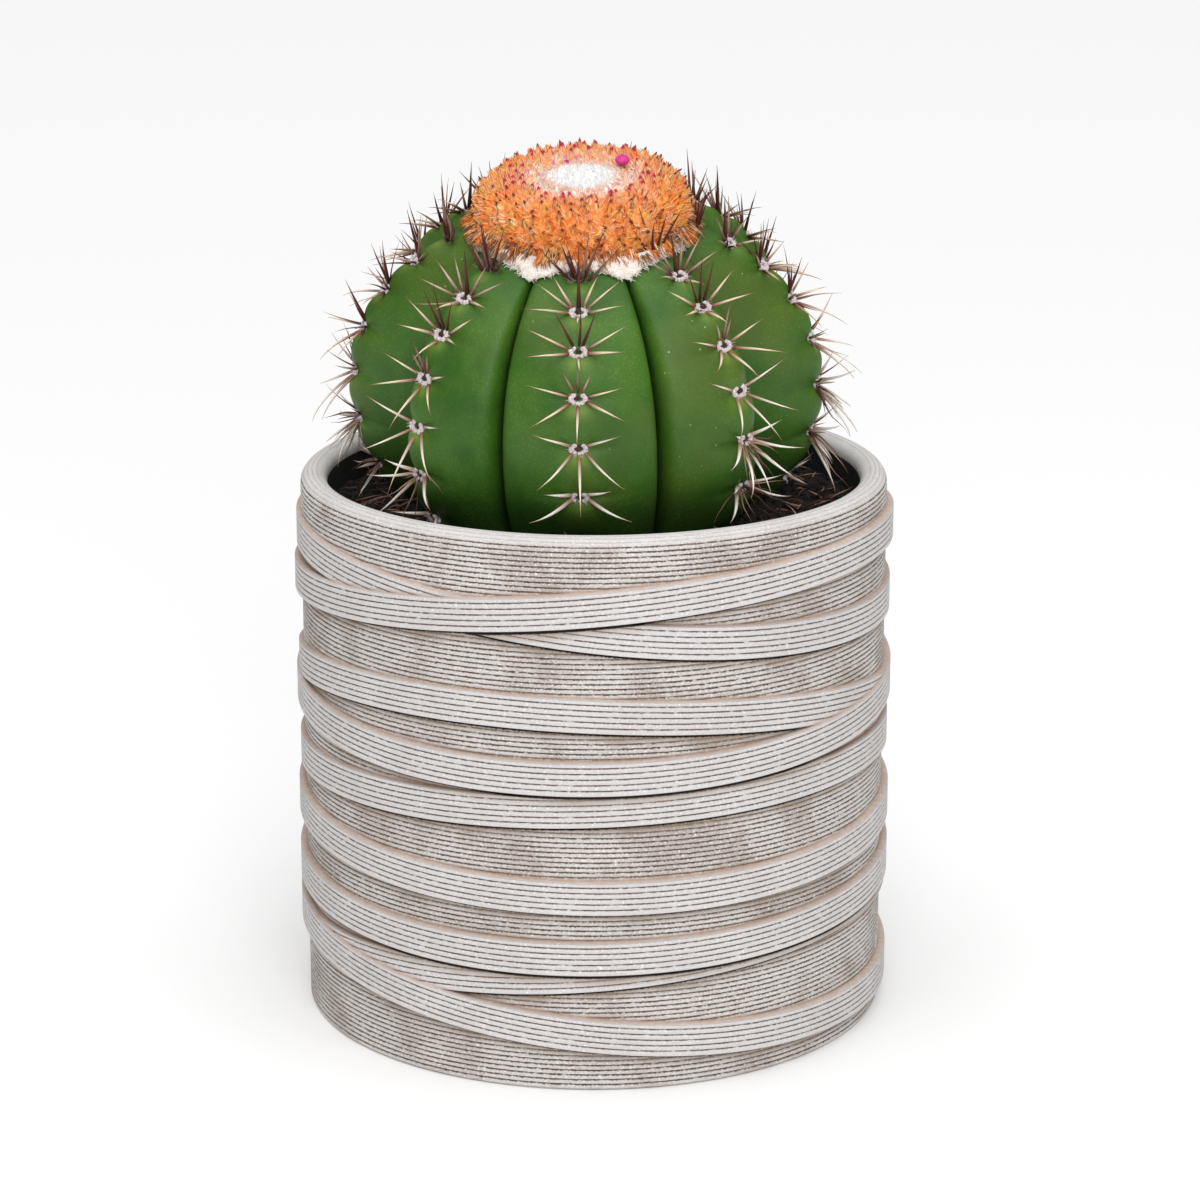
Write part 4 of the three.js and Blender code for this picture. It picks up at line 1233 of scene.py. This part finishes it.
def makeTufts():
    surface = CapSurface()
    count = int(surface.total / (cap["spacing"] ** 2 * 0.87))
    golden = math.pi * (3 - math.sqrt(5))
    draw = random.Random(cap["seed"])
    strands = Strands()
    low, high = cap["tipShare"]
    for i in range(count):
        share = (i + 0.5) / count
        foot, out, side, radius = surface.at(share, i * golden + 0.07 * draw.uniform(-1, 1))
        lean = out + np.array((0, 0, 0.35)) * (1 - abs(out[2])) + side * draw.uniform(-0.25, 0.25)
        lean = lean / np.linalg.norm(lean)
        rise = np.cross(side, lean)
        root, middle, tip, pale = capTints(draw, share, radius)
        length = cap["length"] * draw.uniform(0.7, 1.15) * (1 - 0.45 * pale)
        girth = draw.uniform(1.1, 1.55)
        for k in range(cap["bristles"]):
            swing = (k + draw.uniform(-0.4, 0.4)) / cap["bristles"] * 2 * math.pi
            spoke = towards(side, rise, swing)
            start = foot + spoke * girth
            target = foot + lean * (length - draw.uniform(0, 0.7)) + spoke * draw.uniform(0.1, 0.5)
            shade = draw.random()
            tint = blend(middle, root, shade ** 2.4)
            if shade < cap["umberShare"]:
                tint = blend(middle, hues["umber"], 0.6 * (1 - pale))
            strands.grow(start - lean * 0.5, target - start + lean * 0.5, spoke * draw.uniform(0, 0.5),
                         draw.uniform(0.24, 0.42), blend(tint, hues["umber"], 0.05 * (1 - pale)), tint,
                         blend(tint, root, 0.5 * draw.random()))
        if draw.random() < low + (high - low) * float(smoothstep(radius, 26, 18)):
            strands.grow(foot + lean * (length - 1.0), lean * draw.uniform(1.2, 1.7),
                         side * draw.uniform(-0.2, 0.2),
                         draw.uniform(0.4, 0.55) + 0.3 * float(smoothstep(radius, 22, 17)), middle, tip, tip)
    foot, out, side, radius = surface.at(cap["petalShare"], math.radians(cap["petalAngle"]))
    for i in range(cap["petals"]):
        swing = i / cap["petals"] * 2 * math.pi
        petal = out * draw.uniform(1.7, 2.6) + towards(side, np.cross(side, out), swing) * 0.6
        strands.grow(foot, petal, -0.2 * petal, 0.5, *(hues["magenta"],) * 3)
    return strands.build("cap_tufts", 4, 3, 2.2, bristleHorn, curl=0.7, curlSize=1.3)


def makeCapFluff():
    # cotton between the tufts, and the brown frayed hair that hangs from the cap's foot
    surface = CapSurface()
    draw = random.Random(cap["seed"] + 1)
    cotton = Strands()
    for i in range(cap["fluff"]):
        foot, out, side, radius = surface.at(draw.random(), draw.uniform(0, 2 * math.pi))
        pale = float(smoothstep(radius, 17, 11))
        aim = out * draw.uniform(0.5, 1.4) + side * draw.uniform(-0.9, 0.9)
        aim = aim + np.array((0, 0, draw.uniform(-0.8, 0.9)))
        tint = blend(hues["cotton"], hues["orange"], draw.random() * (1 - pale))
        tint = blend(tint, hues["white"], pale)
        cotton.grow(foot - out * 0.3, aim, side * draw.uniform(-0.8, 0.8), 0.12, tint, tint,
                    blend(tint, hues["white"], 0.5))
    for i in range(cap["fringe"]):
        angle = (i + draw.uniform(-0.4, 0.4)) / cap["fringe"] * 2 * math.pi
        clump = 0.7 * float(ripple(angle, 0, 77, 4)) + draw.uniform(-0.6, 0.6)
        foot, out, side, radius = surface.at(draw.uniform(0.03, 0.12), angle)
        reach = cap["fringeReach"] + 1.5 * clump
        hem = around(reach, angle, float(crestHeight(reach)) + 0.7) + side * draw.uniform(-0.8, 0.8)
        clumpTint = blend(hues["deepOrange"], hues["umber"], draw.random() ** 0.6)
        for k in range(cap["fringeHairs"]):
            start = foot + out * draw.uniform(-0.2, 1.2) + side * draw.uniform(-1.1, 1.1)
            end = hem + side * draw.uniform(-1.6, 1.6)
            end = end + around(draw.uniform(-1.8, 0.3), angle, draw.uniform(0, 1.5))
            tint = blend(clumpTint, hues[draw.choice(("amber", "cotton"))], draw.random() ** 2.2)
            bow = around(draw.uniform(0.5, 1.4), angle, draw.uniform(0, 0.5))
            cotton.grow(start, end - start + bow, -bow, draw.uniform(0.12, 0.22), tint, tint,
                        blend(tint, hues["umber"], 0.5))
    return cotton.build("cap_cotton", 5, 3, 3.0, woolHair, curl=1.4, curlSize=1.8)


for made in (makeCapCore(), makeTufts(), makeCapFluff()):
    settle(made, "cephalium", "cephalium")


wool = {
    "skirtReach": 29.0, "skirtDrop": 5.6, "sideLess": 1.6, "rise": 0.45, "edge": 0.6, "columnsPerRib": 26,
    "top": ((28.0, 76.0), (25.6, 75.5)), "crownTop": 86.3, "crownColumns": 96, "lump": 0.3,
    "crownLine": ((10.2, 86.2), (8.0, 86.5), (0.8, 86.3)),  # radius and height, inwards from the bristles
    "skirtHairs": 4200, "crownHairs": 2000, "seed": 31,
    "white": "#ffffff", "cream": "#fffaf4", "shadeUnderCap": "#b98468",  # brown of the painted shade on the skirt's hairs up under the cap, fading out near the skirt's edge
    "crownTints": ("#ffe3c2", "#ffc896", "#ffb9a0"),  # of the hairs beside the bristles
}


def acrossAt(turns):
    # 0 on a rib's crest and 1 in a furrow
    return np.abs((np.asarray(turns) + 0.5) % 1 - 0.5) * 2


def skirtReach(turns):
    # the wool hangs further down in the furrows, and less past the front ribs
    past = smoothstep(np.cos(ribAngle(turns)), 0.75, 0.4)
    return wool["skirtReach"] + wool["skirtDrop"] * acrossAt(turns) ** 2 - wool["sideLess"] * past


def skirtPoint(turns, radius, rise):
    drawIn = furrowShare(np.minimum(acrossAt(turns), 0.9), radius, turns)
    return around(radius * (1 - drawIn) + rise / 2, ribAngle(turns), crestHeight(radius) + rise)


def makeSkirt():
    w = wool
    turns = np.arange(plant["ribs"] * w["columnsPerRib"]) / w["columnsPerRib"]
    angle = ribAngle(turns)
    reach = skirtReach(turns) + 0.5 * ripple(angle, 0, 11, 7)
    lump = w["lump"] * ripple(angle, 0, 12, 7)
    inner = plant["capRadius"] + w["edge"]
    rows = ((inner + 0 * turns, w["rise"]), ((inner + reach) / 2, w["rise"]), (reach, w["rise"]),
            (reach - 0.3, 0.9), (reach - 1.2, 1.4 + lump), ((reach + 28) / 2 - 0.9, 1.6 + lump))
    rings = [skirtPoint(turns, radius, rise) for radius, rise in rows]
    (outerTop, outerZ), (innerTop, innerZ) = w["top"]
    rings += [around(outerTop - 0.2, angle, outerZ), around(innerTop, angle, innerZ)]
    count = len(turns)
    last = (len(rings) - 1) * count
    faces = gridFaces(len(rings), count)
    faces += [(last + j, last + (j + 1) % count, (j + 1) % count, j) for j in range(count)]
    core = newPiece("skirt_core", place(np.concatenate(rings)), faces, material=woolFelt)
    draw = random.Random(w["seed"])
    white, cream, shadeUnderCap = (linear(w[key]) for key in ("white", "cream", "shadeUnderCap"))
    start = plant["capRadius"] + 1.5
    hairs = Strands()
    for i in range(w["skirtHairs"]):
        spot = draw.uniform(0, plant["ribs"])
        limit = float(skirtReach(spot))
        radius = start + (limit - start) * draw.random() ** 0.6
        foot = skirtPoint(spot, radius, 0.9)
        below = skirtPoint(spot, min(radius + 1.5, 50), 0.9)
        down = (below - foot) / np.linalg.norm(below - foot)
        side = around(1, float(ribAngle(spot)) + math.pi / 2, 0)
        out = np.cross(down, side)
        out = out if out[2] > 0 else -out
        aim = down * draw.uniform(0.5, 1.7) + out * draw.uniform(0.4, 1.3) + side * draw.uniform(-1.1, 1.1)
        # painted shade: brown on the hairs under the cap, fading out over the last 2 mm to the skirt's edge
        brown = draw.random() ** 0.7 * float(smoothstep(limit - radius, -0.4, 1.9))
        tint = blend(cream, shadeUnderCap, brown)
        hairs.grow(foot - out * 0.5, aim, side * draw.uniform(-0.8, 0.8) - out * draw.uniform(0, 0.7),
                   draw.uniform(0.09, 0.15), tint, tint, white)
    return core, hairs.build("skirt_hairs", 5, 3, 2.5, woolHair, curl=1.0, curlSize=2.0)


def makeCrown():
    w = wool
    angle = ringAngles(w["crownColumns"])
    base = cap["crownFloor"] + cap["gap"]
    line = [(cap["crownRadius"] - cap["gap"], base), *smoothLine(w["crownLine"], 8)]
    rings = []
    for radius, z in line:
        rings.append(around(radius, angle, z + w["lump"] * ripple(angle, radius, 21) * (radius < 9.5)))
    points, faces = closedRings(rings, (0, 0, base), (0, 0, w["crownTop"]))
    core = newPiece("crown_core", place(points), faces, material=crownFelt)
    draw = random.Random(w["seed"] + 1)
    white = linear(w["white"])
    hairs = Strands()
    for i in range(w["crownHairs"]):
        radius = 10.4 * draw.random() ** 0.36
        turn = draw.uniform(0, 2 * math.pi)
        foot = around(radius, turn, w["crownTop"] - 0.1)
        inward, side = around(-1, turn, 0), around(1, turn + math.pi / 2, 0)
        aim = np.array((0, 0, draw.uniform(0.4, 1.4))) + inward * draw.uniform(-0.4, 1.2)
        aim = aim + side * draw.uniform(-1, 1)
        rim = float(smoothstep(radius, 6.5, 9.8))
        tint = blend(white, linear(draw.choice(w["crownTints"])), rim * draw.uniform(0.5, 1))
        hairs.grow(foot, aim, side * draw.uniform(-0.5, 0.5), 0.12, tint, tint, white)
    return core, hairs.build("crown_hairs", 4, 3, 3.0, woolHair, curl=0.8, curlSize=1.5)


for made in makeSkirt():
    settle(made, "wool", "wool_skirt")
for made in makeCrown():
    settle(made, "wool", "wool_crown")


bud = {
    "radius": 12.2, "angle": 125.0, "z": 87.1, "height": 2.5, "width": 1.7, "petals": 5, "layers": 2,
    "rows": 9, "columns": 7, "half": 0.72,  # radians, half of a petal's width
    "thickness": 0.12, "hollow": 0.18,
}


def petalRim(rows, columns):
    # the numbers of the points round the edge of a grid
    return list(range(columns)) + [r * columns + columns - 1 for r in range(1, rows)] \
        + [(rows - 1) * columns + c for c in range(columns - 2, -1, -1)] \
        + [r * columns for r in range(rows - 2, 0, -1)]


def makeBud():
    b = bud
    rows, columns = b["rows"], b["columns"]
    grid = gridFaces(rows, columns, closed=False)
    rim = petalRim(rows, columns)
    centre = around(b["radius"], math.radians(b["angle"]), b["z"])
    points, faces = [], []

    def petalPoint(layer, start, side, t, share):
        # a point of a petal: t from its foot to its tip, share across it, on its outer or its inner side
        girth = b["width"] * (0.35 + 0.65 * math.sin(math.pi * min(1, t * 0.9 + 0.12))) * (1 - 0.12 * layer)
        girth = girth * (1 - smoothstep(t, 0.75, 1.0) * 0.75) - b["thickness"] * side
        width = b["half"] * (1 - 0.85 * float(smoothstep(t, 0.55, 1.0)))
        lip = b["hollow"] * (1 - share ** 2) * (1 - side)
        return centre + around(girth + lip, start + share * width, b["height"] * t * (0.96 + 0.04 * layer))

    for layer in range(b["layers"]):
        for i in range(b["petals"]):
            start = (i + 0.5 * layer) / b["petals"] * 2 * math.pi
            offset = len(points)
            back = offset + rows * columns
            points += [petalPoint(layer, start, side, r / (rows - 1), c / (columns - 1) * 2 - 1)
                       for side in (0, 1) for r in range(rows) for c in range(columns)]
            faces += [tuple(offset + k for k in face) for face in grid]
            faces += [tuple(reversed([back + k for k in face])) for face in grid]
            faces += [(offset + following, offset + here, back + here, back + following)
                      for here, following in zip(rim, rim[1:] + rim[:1])]
    return newPiece("bud_petals", place(np.array(points)), faces, material=petalSkin)


settle(makeBud(), "flower", "flower_bud")


soil = {
    "gap": 0.3, "shoulder": 8.0, "columns": 150, "lump": 0.5, "crumbs": 2600, "seed": 41,
    "hidden": 46, "bare": 44,  # mm from the plant's axis: the bed sinks under it, and no crumbs lie there
}


def soilLevel(share):
    # the height of the soil, rising from the wall by that share of the mound
    return plant["soilLevel"] + plant["soilMound"] * share


def makeSoil():
    s = soil
    angle = ringAngles(s["columns"])
    outer = planter["inner"] - s["gap"]
    floor = planter["floor"] + s["gap"]
    rings = [around(outer, angle, floor)]
    for radius in np.concatenate([np.linspace(outer, outer - s["shoulder"], 5),
                                  np.linspace(outer - s["shoulder"], 2, 26)[1:]]):
        share = min(1, (outer - radius) / s["shoulder"])
        lump = s["lump"] * ripple(angle, radius * 0.6, 51, 8) * (0.3 + 0.7 * share) - 0.5
        level = soilLevel(share) + lump
        points = around(radius, angle, level)
        base = unplace(points)
        points[:, 2] = np.where(np.hypot(base[:, 0], base[:, 1]) < s["hidden"], level - 6, level)
        rings.append(points)
    points, faces = closedRings(rings, (0, 0, floor), (0, 0, plant["soilLevel"] - 5))
    ground = newPiece("soil_bed", points, faces, material=pottingSoil)
    draw = random.Random(s["seed"])
    places, sizes = [], []
    while len(places) < s["crumbs"]:
        radius = (outer - 0.8) * math.sqrt(draw.random())
        turn = draw.uniform(0, 2 * math.pi)
        size = draw.uniform(0.3, 1.1) if draw.random() < 0.85 else draw.uniform(1.0, 1.9)
        share = min(1, (outer - radius) / s["shoulder"])
        height = soilLevel(share) - 0.4 + draw.uniform(-0.3, 0.4)
        point = around(min(radius, outer - size), turn, height)
        base = unplace(point)
        if math.hypot(base[0], base[1]) > s["bare"]:
            places.append(point)
            sizes.append(size)
    crumbs = newPiece("soil_crumbs", np.array(places), [], {"size": np.array(sizes) * mm})
    crumbs = grow(crumbs, beadTree, {
        "Segments": 6, "Rings": 4, "Lump": 0.9 * mm, "Lump Size": 1.1 * mm, "Flatness": 0.7, "Seed": 9,
        "Material": pottingSoil})
    return ground, crumbs


for made in makeSoil():
    settle(made, "soil", "soil")
